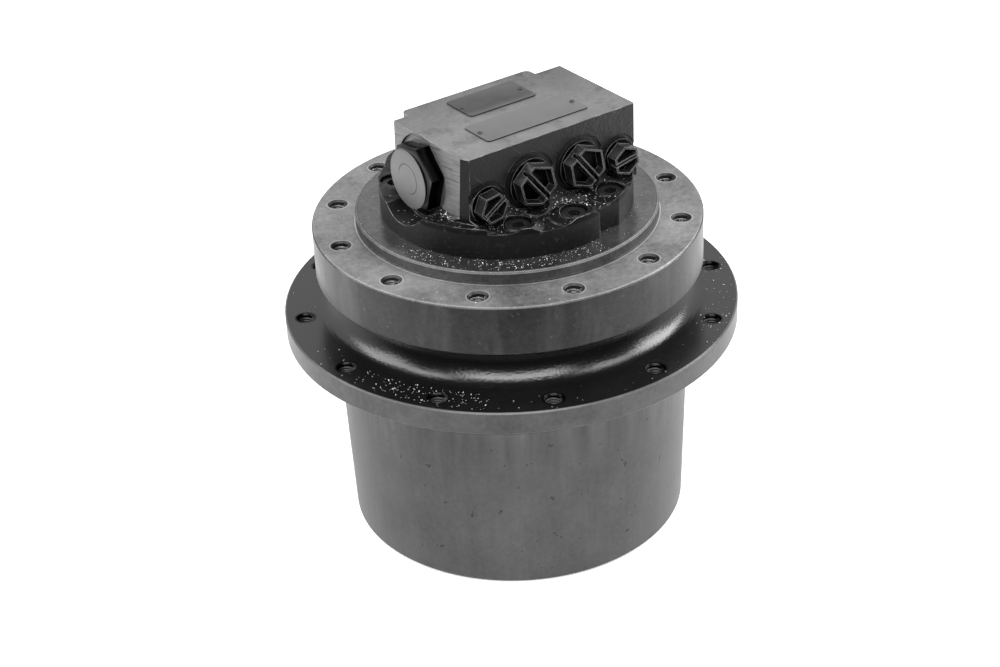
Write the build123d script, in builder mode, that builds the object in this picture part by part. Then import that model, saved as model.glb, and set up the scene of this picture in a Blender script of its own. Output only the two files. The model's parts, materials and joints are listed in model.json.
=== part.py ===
from build123d import *
import math
import os

# Excavator final drive: a two-stage planetary hub with its plug-in travel motor.
# Millimetres, +Z up. The drive stands on the rim of its drum, and the origin is that rim's centre.
# The valve block's length lies along X, and its port side faces -Y.

os.makedirs("parts", exist_ok=True)

# Clearances and edges
seat = 0.02  # radial, between pieces of one body
running = 0.05  # radial, between a pin or a shaft and what turns on it
face_gap = 0.15  # between faces that slide on each other
roller_play = 0.12  # between a roller and its race
edge = 1.0  # the usual machined chamfer
tap_m10 = 4.25  # radius of a tapping drill
tap_m12 = 5.1
clear_m10 = 5.5
socket_m10 = 4.6  # over the corners of the socket

# Gears: one module, stub teeth
gear_module = 3.0
pressure_angle = 20.0
addendum = 0.8 * gear_module
dedendum = 1.0 * gear_module
tooth_slack = 0.25  # taken off each tooth's thickness
ring_teeth = 60
sun_one_teeth = 12
sun_two_teeth = 18
planet_count = 3
stage_one_turn = 60.0  # the first stage's planets stand between the second stage's pins

# Drum and end cover
rim_height = 2.6
snap_wire = 2.5
snap_depth = 3.0
cover_recess = 3.0
cover_thickness = 11.0
cover_edge = 8.6
cover_boss_step = 10.0  # from the snap ring's inside in to the cover's boss
snap_reach = 4.0
oil_plug_r = 10.5
oil_plug_head = 2.8
oil_plug_circle_r = 64.0
oil_plug_turns = (90, 210, 330)
button_r = 9.0
ring_back = 10.0  # ring gear, from its pitch circle to its outside
drum_wall = 9.0
drum_draft = 1.9  # degrees
drum_edge = 2.3
register_r_step = 1.8
register_height = 5.0
sprocket_ledge = 29.5
sprocket_thickness = 15.7
sprocket_hole_inset = 12.5
sprocket_hole_count = 12
sprocket_hole_turn = 5.0

# First stage
pin_head = 3.0
cover_room = 2.0
planet_one_width = 22.0
pin_one_r = 12.0
needle_one = 4.0
thrust_gap = 2.0
carrier_one_plate = 12.0
carrier_one_margin = 8.0
sun_two_hub_r = 21.5

# Second stage
stage_gap = 4.0
planet_two_width = 30.0
pin_two_r = 14.0
needle_two = 4.5
carrier_two_plate = 14.0
carrier_two_margin = 9.0
nose_r = 38.0
nose_length = 12.0
carrier_screw_sink = 8.0
carrier_screw_head = 7.5
carrier_screw_shank = 12.5
carrier_screw_spread = 42.0  # degrees, either side of a pin

# Main bearings and the nut that holds them
nut_lip = 3.0
nut_height = 8.0
nut_wall = 12.0
bearing_width = 20.0
bearing_section = 20.0
roller_r = 4.0
roller_length = 14.0
roller_tilt = 15.0
roller_count = 24
neck_wall = 10.0
neck_fillet = 16.0
neck_height = 26.0  # sprocket flange's top to the frame flange's underside
hub_gap = 2.5

# Floating seal
seal_section = 3.6
seal_step = 1.4  # from the bearings' bore out to the seal's
seal_foot_wall = 4.0
seal_lip = 3.0

# Frame hub
motor_bore_r = 60.0
spindle_wall = 15.0
seal_shoulder = 7.0
frame_flange_r = 122.5
frame_flange_thickness = 32.0
frame_hole_inset = 13.5
frame_hole_count = 12
frame_hole_turn = 15.0
pilot_r = 95.0
pilot_height = 8.0
pilot_groove = 1.2

# Travel motor
shaft_bearing_r = 26.0
shaft_bearing_width = 15.0
shaft_bore_r = 10.0
shaft_seal_r = 20.0
ball_r = 4.2
ball_count = 7
swash_thickness = 12.0
swash_r = 46.0
slipper_r = 8.6
slipper_height = 4.0
slipper_neck = 5.0
slipper_ball = 7.0
retainer_thickness = 3.0
piston_r = 7.8
piston_circle_r = 27.0
piston_count = 9
piston_length = 54.0
slipper_room = 17.85
block_height = 52.0
block_r = 37.0
valve_plate = 4.0
sun_one_stem_r = 11.5
shaft_tail_r = 8.0
shaft_spline_r = 12.0
top_journal_r = 9.0
top_journal_length = 14.0
barrel_spring_room = 30.0
barrel_spring_wire = 1.4

# Brake
brake_plate = 2.0
brake_plate_gap = 0.2
brake_steel_count = 3
brake_ledge = 6.0
brake_piston_height = 17.0
brake_piston_in_r = 44.0
brake_stroke = 1.2

# Motor casting: round base and valve block
base_wall = 19.0
base_height = 16.3
screw_inset = 9.5
screw_turns = (30, 60, 90, 120, 150, 240, 270, 300)
screw_head_r = 8.0
screw_head_height = 10.0
screw_length = 26.0
screw_sink = 1.4  # the head's top, below its boss
boss_height = 3.5
boss_r = 11.5
boss_foot = 4.0
land_near = 18.0  # the lands beside the block's front corners, from and to this far in front of the axis
land_far = 57.0
notch_start = 279.5
notch_end = 294.0
notch_depth = 5.5
journal_seat_r = 13.0
valve_length = 126.0
valve_shift = 2.5
valve_height = 45.7
apron_reach = 11.5
apron_height = 7.5
end_foot = 2.6
valve_end_draft = 1.8  # degrees
valve_front = 46.2
valve_back = 29.0
valve_boss_back = 37.2
valve_boss_left = -50.0
valve_boss_right = 46.0
left_corner_cut = 2.5
right_corner_cut = 0.6

# Ports: two for the motor's main lines, two small ones outside them
port_front_depth = 1.2
main_port_x = 18.5
main_port_shift = 1.0  # from the block's middle to the right
main_port_drop = 26.8  # below the block's top
main_port_r = 10.5
main_flange_r = 15.0
main_spotface_r = 18.4
main_hex_r = 13.9
small_port_x = 49.5
small_port_drop = 31.4
small_port_r = 6.6
small_flange_r = 11.6
small_spotface_r = 14.0
small_hex_r = 10.0
port_depth = 22.0
plug_flange = 3.0
plug_hex = 7.8
plug_rim = 1.5
plug_well = 6.0
main_bar = 4.4
small_bar = 3.2
bar_wall = 1.0

# Counterbalance spool across the block
spool_r = 10.0
spool_drop = 25.0
spool_travel = 5.0
spool_end_room = 4.5
end_plug_hex_r = 22.0
end_plug_hex = 11.0
end_plug_face_r = 19.0
end_plug_stem_r = 15.0
end_plug_stem = 20.0
end_plug_wall = 3.0
end_spotface_r = 25.0
end_spotface_depth = 1.5
end_groove = 2.0  # the cutter's run-out over the base goes deeper than the spotface
cap_flange = 3.5
cap_hex_r = 12.0
cap_hex = 7.0
spring_wire = 1.1
spring_turns = 6

# Name plates, bare
name_plate = 0.8
plate_corner = 2.5
back_plate_y = 15.5
back_plate_length = 50.0
back_plate_width = 27.5
front_plate_y = -21.0
front_plate_length = 75.0
front_plate_width = 26.0
rivet_r = 1.6
rivet_inset = 3.0

# Radii that follow
pitch = gear_module / 2
ring_r = pitch * ring_teeth
sun_one_r = pitch * sun_one_teeth
sun_two_r = pitch * sun_two_teeth
planet_one_teeth = (ring_teeth - sun_one_teeth) // 2
planet_two_teeth = (ring_teeth - sun_two_teeth) // 2
stage_one_r = (ring_r + sun_one_r) / 2
stage_two_r = (ring_r + sun_two_r) / 2
drum_bore = ring_r + ring_back
cover_boss_r = drum_bore - snap_reach - cover_boss_step
drum_r = drum_bore + drum_wall
spindle_r = motor_bore_r + spindle_wall
bearing_r = spindle_r + bearing_section
neck_r = bearing_r + neck_wall
shoulder_r = spindle_r + seal_shoulder
seal_pocket_r = bearing_r + seal_step
seal_foot_r = seal_pocket_r - 0.2 - 2 * seal_section - seal_foot_wall
frame_hole_r = frame_flange_r - frame_hole_inset
base_r = motor_bore_r + base_wall
screw_circle_r = motor_bore_r + screw_inset

# Heights that follow, from the drum's rim up to the block's top
cover_top = cover_recess + cover_thickness
pin_one_low = cover_top + cover_room
stage_one_low = pin_one_low + pin_head
stage_one_top = stage_one_low + planet_one_width
carrier_one_low = stage_one_top + thrust_gap
carrier_one_top = carrier_one_low + carrier_one_plate
stage_two_low = carrier_one_top + stage_gap
stage_two_top = stage_two_low + planet_two_width
ring_top = stage_two_top + thrust_gap / 2
carrier_two_low = stage_two_top + thrust_gap
spindle_low = carrier_two_low + carrier_two_plate
nose_low = spindle_low - nose_length
motor_floor = spindle_low + shaft_bearing_width + 2.0
swash_top = motor_floor + swash_thickness
block_low = swash_top + slipper_room
block_top = block_low + block_height
spigot_face = block_top + face_gap + valve_plate
frame_flange_top = spigot_face
frame_flange_low = frame_flange_top - frame_flange_thickness
pilot_top = frame_flange_top + pilot_height
hub_top = frame_flange_low - hub_gap
bearings_top = hub_top - 2 * seal_section - 0.3
upper_bearing_low = bearings_top - bearing_width
nut_low = spindle_low + nut_lip
bearings_low = nut_low + nut_height
lower_bearing_top = bearings_low + bearing_width
seal_plane = hub_top + seal_lip + 0.1
sprocket_top = frame_flange_low - neck_height
sprocket_low = sprocket_top - sprocket_thickness
register_low = sprocket_low - register_height
drum_top_r = drum_r + (register_low - drum_edge) * math.tan(math.radians(drum_draft))
register_r = drum_top_r + register_r_step
sprocket_r = register_r + sprocket_ledge
sprocket_hole_r = sprocket_r - sprocket_hole_inset
base_top = pilot_top + base_height
valve_top = base_top + valve_height
boss_top = base_top + boss_height
screw_top = boss_top - screw_sink
screw_seat = screw_top - screw_head_height
main_port_z = valve_top - main_port_drop
small_port_z = valve_top - small_port_drop
spool_z = valve_top - spool_drop

# Lengths that follow, along the block
spool_stop = valve_length / 2 - end_spotface_depth - end_plug_stem
spool_length = 2 * (spool_stop - spool_travel - spool_end_room)


def save(piece, label):
    """Names a finished sub-part and writes it."""
    piece.part.label = label
    export_step(piece.part, f"parts/{label}.step")


def section(*corners):
    """A closed outline of (radius, height) corners, in the plane through the drive's axis."""
    with BuildSketch(Plane.XZ) as outline:
        with BuildLine():
            Polyline(*corners, close=True)
        make_face()
    return outline.sketch


def box_section(inner, outer, low, high):
    """The section of a plain ring."""
    return section((inner, low), (outer, low), (outer, high), (inner, high))


def round_edges(piece, radius, height):
    """The round edges of a piece at one radius and height on the drive's axis."""
    found = piece.edges().filter_by(GeomType.CIRCLE)
    return [e for e in found if abs(e.radius - radius) < 0.01 and abs(e.arc_center.Z - height) < 0.01
            and math.hypot(e.arc_center.X, e.arc_center.Y) < 0.01]


def tooth_corners(teeth, low_r, high_r, slack, turn):
    """Corners of a toothed outline. Each flank follows the involute in two straight runs."""
    pitch_r = pitch * teeth
    base_circle = pitch_r * math.cos(math.radians(pressure_angle))

    def involute(radius):
        angle = math.acos(min(1.0, base_circle / radius))
        return math.tan(angle) - angle

    def half_tooth(radius):
        thick = math.pi / (2 * teeth) - slack / (2 * pitch_r)
        return thick + involute(pitch_r) - involute(radius)

    corners = []
    for tooth in range(teeth):
        middle = math.radians(turn) + 2 * math.pi * tooth / teeth
        for side, radii in ((-1, (low_r, pitch_r, high_r)), (1, (high_r, pitch_r, low_r))):
            for radius in radii:
                angle = middle + side * half_tooth(radius)
                corners.append((radius * math.cos(angle), radius * math.sin(angle)))
    return corners


def gear_corners(teeth, turn):
    """Corners of an outside gear with a tooth at the given turn."""
    radius = pitch * teeth
    return tooth_corners(teeth, radius - dedendum, radius + addendum, tooth_slack, turn)


def tilted_point(along, across, low, mirror):
    """A (radius, height) point on a main bearing's roller axis. Across is square to that axis."""
    tilt = math.radians(roller_tilt) * mirror
    radius = (spindle_r + bearing_r) / 2 + along * math.sin(tilt) + across * math.cos(tilt)
    height = low + bearing_width / 2 + along * math.cos(tilt) - across * math.sin(tilt)
    return radius, height


# Hub housing: the turning casting, with the drum, the sprocket flange and the bearing neck in one
with BuildPart() as hub_housing:
    with BuildSketch(Plane.XZ):
        with BuildLine():
            Polyline(
                (drum_bore, 0),
                (drum_r - drum_edge, 0),
                (drum_r, drum_edge),
                (drum_top_r, register_low),
                (register_r, register_low),
                (register_r, sprocket_low),
                (sprocket_r, sprocket_low),
                (sprocket_r, sprocket_top),
                (neck_r, sprocket_top),
                (neck_r, hub_top),
                (seal_pocket_r, hub_top),
                (seal_pocket_r, bearings_top),
                (bearing_r, bearings_top),
                (bearing_r, upper_bearing_low),
                (bearing_r - 5, upper_bearing_low),
                (bearing_r - 5, lower_bearing_top),
                (bearing_r, lower_bearing_top),
                (bearing_r, ring_top),
                (drum_bore, ring_top),
                (drum_bore, rim_height + snap_wire + 0.1),
                (drum_bore + snap_depth, rim_height + snap_wire + 0.1),
                (drum_bore + snap_depth, rim_height),
                (drum_bore, rim_height),
                close=True,
            )
        make_face()
    revolve(axis=Axis.Z)
    fillet(round_edges(hub_housing, neck_r, sprocket_top), neck_fillet)
    chamfer(round_edges(hub_housing, sprocket_r, sprocket_top), edge)
    chamfer(round_edges(hub_housing, sprocket_r, sprocket_low), 1.5 * edge)
    chamfer(round_edges(hub_housing, neck_r, hub_top), edge)
    with Locations((0, 0, sprocket_top)):
        with PolarLocations(sprocket_hole_r, sprocket_hole_count, start_angle=sprocket_hole_turn):
            CounterSinkHole(tap_m12, tap_m12 + edge, sprocket_thickness)
save(hub_housing, "hub_housing")

# Ring gear: a toothed sleeve pressed into the drum, shared by both stages
with BuildPart() as ring_gear:
    with BuildSketch(Plane.XY.offset(cover_top)):
        Circle(drum_bore - seat)
        Polygon(
            *tooth_corners(ring_teeth, ring_r - addendum, ring_r + dedendum, -tooth_slack, 0),
            align=None,
            mode=Mode.SUBTRACT,
        )
    extrude(amount=ring_top - cover_top)
save(ring_gear, "ring_gear")

# End cover: a turned disc in the drum's mouth, with a raised middle and counterbored holes for its oil plugs
with BuildPart() as end_cover:
    revolve(section(
        (0, cover_recess),
        (cover_boss_r, cover_recess),
        (cover_boss_r + 2, cover_edge - cover_recess),
        (drum_bore - seat, cover_edge - cover_recess),
        (drum_bore - seat, cover_edge),
        (drum_bore - 3, cover_edge),
        (drum_bore - 3, cover_edge + 3.2),
        (drum_bore - seat, cover_edge + 3.2),
        (drum_bore - seat, cover_top),
        (0, cover_top),
    ), axis=Axis.Z)
    with Locations(Plane.XY.offset(cover_recess).rotated((180, 0, 0))):
        with PolarLocations(oil_plug_circle_r, len(oil_plug_turns), start_angle=-oil_plug_turns[0]):
            CounterBoreHole(oil_plug_r - 2.5, oil_plug_r + 1, oil_plug_head + 0.2)
    chamfer(round_edges(end_cover, cover_boss_r, cover_recess), 0.5)
save(end_cover, "end_cover")

# Snap ring that holds the cover, open at one side
with BuildPart() as cover_snap_ring:
    revolve(box_section(drum_bore - snap_reach, drum_bore + snap_depth - 0.2, rim_height + 0.05,
                        rim_height + snap_wire), axis=Axis.Z, revolution_arc=346)
save(cover_snap_ring, "cover_snap_ring")

# O-ring in the cover's groove
with BuildPart() as cover_o_ring:
    with BuildSketch(Plane.XZ):
        with Locations((drum_bore - 1.55, cover_edge + 1.6)):
            Circle(1.45)
    revolve(axis=Axis.Z)
save(cover_o_ring, "cover_o_ring")

# Oil plugs: fill, level and drain, with a socket in each head
with BuildPart() as oil_plugs:
    with PolarLocations(oil_plug_circle_r, len(oil_plug_turns), start_angle=oil_plug_turns[0]):
        with Locations((0, 0, cover_recess + 0.1)):
            Cylinder(oil_plug_r, oil_plug_head, align=(Align.CENTER, Align.CENTER, Align.MIN))
            Cylinder(oil_plug_r - 2.6, cover_thickness - 0.5, align=(Align.CENTER, Align.CENTER, Align.MIN))
    with BuildSketch(Plane.XY.offset(cover_recess + 0.1)):
        with PolarLocations(oil_plug_circle_r, len(oil_plug_turns), start_angle=oil_plug_turns[0]):
            RegularPolygon(socket_m10, 6)
    extrude(amount=cover_thickness - 4, mode=Mode.SUBTRACT)
save(oil_plugs, "oil_plugs")

# Thrust button: a hardened pad in the cover's middle, which the first sun runs on
with BuildPart() as thrust_button:
    revolve(section(
        (0, cover_top),
        (button_r, cover_top),
        (button_r, stage_one_low - 1.2),
        (button_r - 2, stage_one_low - face_gap),
        (0, stage_one_low - face_gap),
    ), axis=Axis.Z)
save(thrust_button, "thrust_button")

# Planet pins, needle sets and planets of both stages
stages = (
    ("one", planet_one_teeth, stage_one_r, stage_one_turn, stage_one_low, planet_one_width, pin_one_r, needle_one,
     pin_one_low, carrier_one_top),
    ("two", planet_two_teeth, stage_two_r, 0.0, stage_two_low, planet_two_width, pin_two_r, needle_two,
     stage_two_low - pin_head + 0.5, spindle_low),
)
for name, teeth, circle_r, turn, low, width, pin_r, needle, pin_low, pin_top in stages:
    head_top = low - 0.4
    with BuildPart() as planet_pins:
        with PolarLocations(circle_r, planet_count, start_angle=turn):
            with Locations((0, 0, pin_low)):
                Cylinder(pin_r + needle - 1, head_top - pin_low, align=(Align.CENTER, Align.CENTER, Align.MIN))
                Cylinder(pin_r, pin_top - pin_low, align=(Align.CENTER, Align.CENTER, Align.MIN))
        chamfer(planet_pins.faces().group_by(Axis.Z)[0].edges(), 0.8)
    save(planet_pins, f"stage_{name}_pins")

    with BuildPart() as needles:
        with BuildSketch(Plane.XY.offset(low + 0.5)):
            with PolarLocations(circle_r, planet_count, start_angle=turn):
                Circle(pin_r + needle - running)
                Circle(pin_r + running, mode=Mode.SUBTRACT)
        extrude(amount=width - 1)
    save(needles, f"stage_{name}_needle_cages")

    # Each planet has a tooth that points straight out, into a space of the ring gear
    for index in range(planet_count):
        place = turn + 360 * index / planet_count
        centre = (circle_r * math.cos(math.radians(place)), circle_r * math.sin(math.radians(place)))
        with BuildPart() as planet:
            with BuildSketch(Plane.XY.offset(low)):
                with Locations(centre):
                    Polygon(*gear_corners(teeth, place), align=None)
                    Circle(pin_r + needle, mode=Mode.SUBTRACT)
            extrude(amount=width)
        save(planet, f"planet_{name}_{'abc'[index]}")

# First carrier: a round plate with three pin seats, three windows and a splined middle
carrier_one_r = stage_one_r + pin_one_r + carrier_one_margin
with BuildPart() as carrier_one:
    with BuildSketch(Plane.XY.offset(carrier_one_low)):
        Circle(carrier_one_r)
        Circle(sun_two_hub_r + seat, mode=Mode.SUBTRACT)
        with PolarLocations(stage_one_r, planet_count, start_angle=stage_one_turn):
            Circle(pin_one_r + seat, mode=Mode.SUBTRACT)
        with PolarLocations(stage_one_r - 1, planet_count, start_angle=stage_one_turn + 180 / planet_count):
            SlotOverall(46, 20, rotation=90, mode=Mode.SUBTRACT)
    extrude(amount=carrier_one_plate)
    chamfer(round_edges(carrier_one, carrier_one_r, carrier_one_low), edge)
    chamfer(round_edges(carrier_one, carrier_one_r, carrier_one_top), edge)
save(carrier_one, "carrier_one")

# Second sun: a hollow pinion whose splined foot turns with the first carrier
with BuildPart() as sun_two:
    with BuildSketch(Plane.XY.offset(stage_two_low)):
        Polygon(*gear_corners(sun_two_teeth, 0), align=None)
    extrude(amount=planet_two_width)
    with Locations((0, 0, carrier_one_low)):
        Cylinder(sun_two_hub_r, stage_two_low - carrier_one_low, align=(Align.CENTER, Align.CENTER, Align.MIN))
    with Locations((0, 0, stage_two_top)):
        Hole(sun_one_stem_r + 1.5, stage_two_top - carrier_one_low)
save(sun_two, "sun_two")

# First sun: a long pinion, its stem splined inside to take the motor shaft's tail
tail_low = stage_two_low + 6
stem_top = nose_low - 1
with BuildPart() as sun_one:
    with BuildSketch(Plane.XY.offset(stage_one_low)):
        Polygon(*gear_corners(sun_one_teeth, 180 / sun_one_teeth), align=None)
    extrude(amount=planet_one_width)
    with Locations((0, 0, stage_one_top)):
        Cylinder(sun_one_stem_r, stem_top - stage_one_top, align=(Align.CENTER, Align.CENTER, Align.MIN))
    with Locations((0, 0, stem_top)):
        Hole(shaft_tail_r + running, stem_top - tail_low + 2)
    chamfer(round_edges(sun_one, sun_one_stem_r, stem_top), edge)
save(sun_one, "sun_one")

# Second carrier: a thick three-lobed plate, centred on the spindle's nose and screwed to its end
carrier_two_r = stage_two_r + pin_two_r + carrier_two_margin
carrier_screw_circle_r = stage_two_r - 0.5
carrier_screw_turns = [360 / planet_count * lobe + side * carrier_screw_spread
                       for lobe in range(planet_count) for side in (-1, 1)]
with BuildPart() as carrier_two:
    with BuildSketch(Plane.XY.offset(carrier_two_low)):
        Circle(carrier_two_r)
        Circle(nose_r + seat, mode=Mode.SUBTRACT)
        with PolarLocations(stage_two_r, planet_count):
            Circle(pin_two_r + seat, mode=Mode.SUBTRACT)
        with PolarLocations(carrier_two_r + 16, planet_count, start_angle=180 / planet_count):
            Circle(26, mode=Mode.SUBTRACT)
    extrude(amount=carrier_two_plate)
    for turn in carrier_screw_turns:
        spot = Plane.XY.offset(carrier_two_low).rotated((180, 0, 0))
        with Locations(spot):
            with PolarLocations(carrier_screw_circle_r, 1, start_angle=-turn):
                CounterBoreHole(clear_m10, screw_head_r + 0.5, carrier_screw_sink, carrier_two_plate)
save(carrier_two, "carrier_two")

# Screws of the second carrier
carrier_screw_low = carrier_two_low + carrier_screw_sink - carrier_screw_head
with BuildPart() as carrier_two_screws:
    for turn in carrier_screw_turns:
        with PolarLocations(carrier_screw_circle_r, 1, start_angle=turn):
            with Locations((0, 0, carrier_screw_low)):
                Cylinder(screw_head_r, carrier_screw_head, align=(Align.CENTER, Align.CENTER, Align.MIN))
                Cylinder(tap_m10 - seat, carrier_screw_head + carrier_screw_shank,
                         align=(Align.CENTER, Align.CENTER, Align.MIN))
    with BuildSketch(Plane.XY.offset(carrier_screw_low)):
        for turn in carrier_screw_turns:
            with PolarLocations(carrier_screw_circle_r, 1, start_angle=turn):
                RegularPolygon(socket_m10, 6)
    extrude(amount=carrier_screw_head - 2.5, mode=Mode.SUBTRACT)
save(carrier_two_screws, "carrier_two_screws")

# Frame hub: the fixed spindle, flange and pilot in one casting, bored for the motor
brake_shelf = spigot_face - brake_stroke - 8.5 - brake_piston_height - 5 * brake_plate - 6 * brake_plate_gap
lower_bore_r = motor_bore_r - brake_ledge
with BuildPart() as frame_hub:
    revolve(section(
        (shaft_seal_r, nose_low),
        (nose_r, nose_low),
        (nose_r, spindle_low),
        (spindle_r - 1, spindle_low),
        (spindle_r - 1, bearings_low),
        (spindle_r, bearings_low),
        (spindle_r, bearings_top),
        (shoulder_r, bearings_top),
        (shoulder_r, seal_plane + seal_lip + 2 * seal_section + 0.3),
        (seal_pocket_r, seal_plane + seal_lip + 2 * seal_section + 0.3),
        (seal_pocket_r, frame_flange_low),
        (frame_flange_r, frame_flange_low),
        (frame_flange_r, frame_flange_top),
        (pilot_r - pilot_groove, frame_flange_top),
        (pilot_r - pilot_groove, frame_flange_top + pilot_groove),
        (pilot_r, frame_flange_top + pilot_groove),
        (pilot_r, pilot_top),
        (motor_bore_r, pilot_top),
        (motor_bore_r, brake_shelf),
        (lower_bore_r, brake_shelf),
        (lower_bore_r, motor_floor),
        (shaft_bearing_r + seat, motor_floor),
        (shaft_bearing_r + seat, motor_floor - shaft_bearing_width),
        (shaft_bore_r + 3, motor_floor - shaft_bearing_width),
        (shaft_bore_r + 3, motor_floor - shaft_bearing_width - 3),
        (shaft_seal_r, motor_floor - shaft_bearing_width - 3),
    ), axis=Axis.Z)
    chamfer(round_edges(frame_hub, frame_flange_r, frame_flange_top), edge)
    chamfer(round_edges(frame_hub, frame_flange_r, frame_flange_low), edge)
    chamfer(round_edges(frame_hub, pilot_r, pilot_top), edge)
    with Locations((0, 0, frame_flange_top)):
        with PolarLocations(frame_hole_r, frame_hole_count, start_angle=frame_hole_turn):
            CounterSinkHole(tap_m12, tap_m12 + edge, frame_flange_thickness)
    with Locations((0, 0, pilot_top)):
        for turn in screw_turns:
            with PolarLocations(screw_circle_r, 1, start_angle=turn):
                Hole(tap_m10, screw_length)
    for turn in carrier_screw_turns:
        with Locations(Plane.XY.offset(spindle_low).rotated((180, 0, 0))):
            with PolarLocations(carrier_screw_circle_r, 1, start_angle=-turn):
                Hole(tap_m10, carrier_screw_shank + 3)
    with BuildSketch(Plane.XY.offset(brake_shelf)):
        with PolarLocations(motor_bore_r, 4, start_angle=45):
            Circle(3)
    extrude(amount=8, mode=Mode.SUBTRACT)
save(frame_hub, "frame_hub")

# Nut on the spindle's end, with four key slots, which sets the main bearings' preload
nut_r = spindle_r - 1 + nut_wall
with BuildPart() as bearing_nut:
    revolve(box_section(spindle_r - 1 + seat, nut_r, nut_low, bearings_low), axis=Axis.Z)
    with BuildSketch(Plane.XY.offset(nut_low)):
        with PolarLocations(nut_r, 4, start_angle=45):
            Rectangle(8, 8)
    extrude(amount=nut_height / 2, mode=Mode.SUBTRACT)
save(bearing_nut, "bearing_nut")

# Main bearings: two tapered roller sets, back to back
bearings = (("lower", bearings_low, 1), ("upper", upper_bearing_low, -1))
half_roller = roller_length / 2
with BuildPart() as main_inner_races:
    for _, low, mirror in bearings:
        inside = -(roller_r + roller_play)
        revolve(section(
            (spindle_r + seat, low),
            (tilted_point(-half_roller, inside, low, mirror)[0], low),
            tilted_point(-half_roller, inside, low, mirror),
            tilted_point(half_roller, inside, low, mirror),
            (tilted_point(half_roller, inside, low, mirror)[0], low + bearing_width),
            (spindle_r + seat, low + bearing_width),
        ), axis=Axis.Z)
save(main_inner_races, "main_inner_races")

with BuildPart() as main_outer_races:
    for _, low, mirror in bearings:
        outside = roller_r + roller_play
        revolve(section(
            (bearing_r - seat, low),
            (bearing_r - seat, low + bearing_width),
            (tilted_point(half_roller, outside, low, mirror)[0], low + bearing_width),
            tilted_point(half_roller, outside, low, mirror),
            tilted_point(-half_roller, outside, low, mirror),
            (tilted_point(-half_roller, outside, low, mirror)[0], low),
        ), axis=Axis.Z)
save(main_outer_races, "main_outer_races")

for name, low, mirror in bearings:
    with BuildPart() as rollers:
        for step in range(roller_count):
            radius, height = tilted_point(0, 0, low, mirror)
            spin = Plane.XZ.rotated((0, 0, 360 * step / roller_count))
            place = Plane(
                origin=spin.from_local_coords((radius, height, 0)),
                z_dir=spin.from_local_coords(
                    (math.sin(math.radians(roller_tilt * mirror)), math.cos(math.radians(roller_tilt)), 0)
                ),
            )
            with Locations(place):
                Cylinder(roller_r, roller_length)
        for end in (-1, 1):
            along = end * (half_roller + 0.9)
            revolve(section(
                tilted_point(along - 0.7, -2, low, mirror),
                tilted_point(along + 0.7, -2, low, mirror),
                tilted_point(along + 0.7, 2, low, mirror),
                tilted_point(along - 0.7, 2, low, mirror),
            ), axis=Axis.Z)
    save(rollers, f"{name}_bearing_rollers")

# Floating seal: two lapped steel rings face to face, each pushed by its own rubber ring
foot_wall_r = seal_foot_r + seal_foot_wall
for name, plane, side in (("hub", seal_plane - face_gap / 2, -1), ("frame", seal_plane + face_gap / 2, 1)):
    with BuildPart() as seal_ring:
        revolve(section(
            (seal_foot_r, plane),
            (seal_pocket_r - 0.6, plane),
            (seal_pocket_r - 0.6, plane + side * seal_lip),
            (foot_wall_r, plane + side * seal_lip),
            (foot_wall_r, plane + side * (seal_lip + 2 * seal_section - 0.6)),
            (seal_foot_r, plane + side * (seal_lip + 2 * seal_section - 0.6)),
        ), axis=Axis.Z)
    save(seal_ring, f"{name}_seal_ring")
    with BuildPart() as toric:
        with BuildSketch(Plane.XZ):
            with Locations((foot_wall_r + 0.1 + seal_section, plane + side * (seal_lip + seal_section + 0.05))):
                Circle(seal_section)
        revolve(axis=Axis.Z)
    save(toric, f"{name}_seal_toric")

# Shaft seal between the motor's oil and the gear oil
shaft_seal_top = motor_floor - shaft_bearing_width - 3
with BuildPart() as shaft_seal:
    revolve(section(
        (shaft_seal_r - seat, shaft_seal_top),
        (shaft_seal_r - seat, nose_low + 0.5),
        (shaft_seal_r - 2, nose_low + 0.5),
        (shaft_seal_r - 2, shaft_seal_top - 2),
        (shaft_bore_r + 3, shaft_seal_top - 4),
        (shaft_bore_r + running, nose_low + 2),
        (shaft_bore_r + running, nose_low + 3.5),
        (shaft_bore_r + 4, shaft_seal_top),
    ), axis=Axis.Z)
save(shaft_seal, "shaft_seal")

# Ball bearing of the motor shaft: two grooved races and their balls
ball_circle_r = (shaft_bearing_r + shaft_bore_r) / 2
shaft_bearing_mid = motor_floor - shaft_bearing_width / 2
races = (
    ("shaft_outer_race", ball_circle_r + 2.6, shaft_bearing_r - seat),
    ("shaft_inner_race", shaft_bore_r + seat, ball_circle_r - 2.6),
)
for label, inner, outer in races:
    with BuildPart() as race:
        revolve(box_section(inner, outer, motor_floor - shaft_bearing_width + seat, motor_floor - seat),
                axis=Axis.Z)
        with BuildSketch(Plane.XZ):
            with Locations((ball_circle_r, shaft_bearing_mid)):
                Circle(ball_r + roller_play)
        revolve(axis=Axis.Z, mode=Mode.SUBTRACT)
    save(race, label)
with BuildPart() as shaft_balls:
    with Locations((0, 0, shaft_bearing_mid)):
        with PolarLocations(ball_circle_r, ball_count):
            Sphere(ball_r)
save(shaft_balls, "shaft_bearing_balls")

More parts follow.
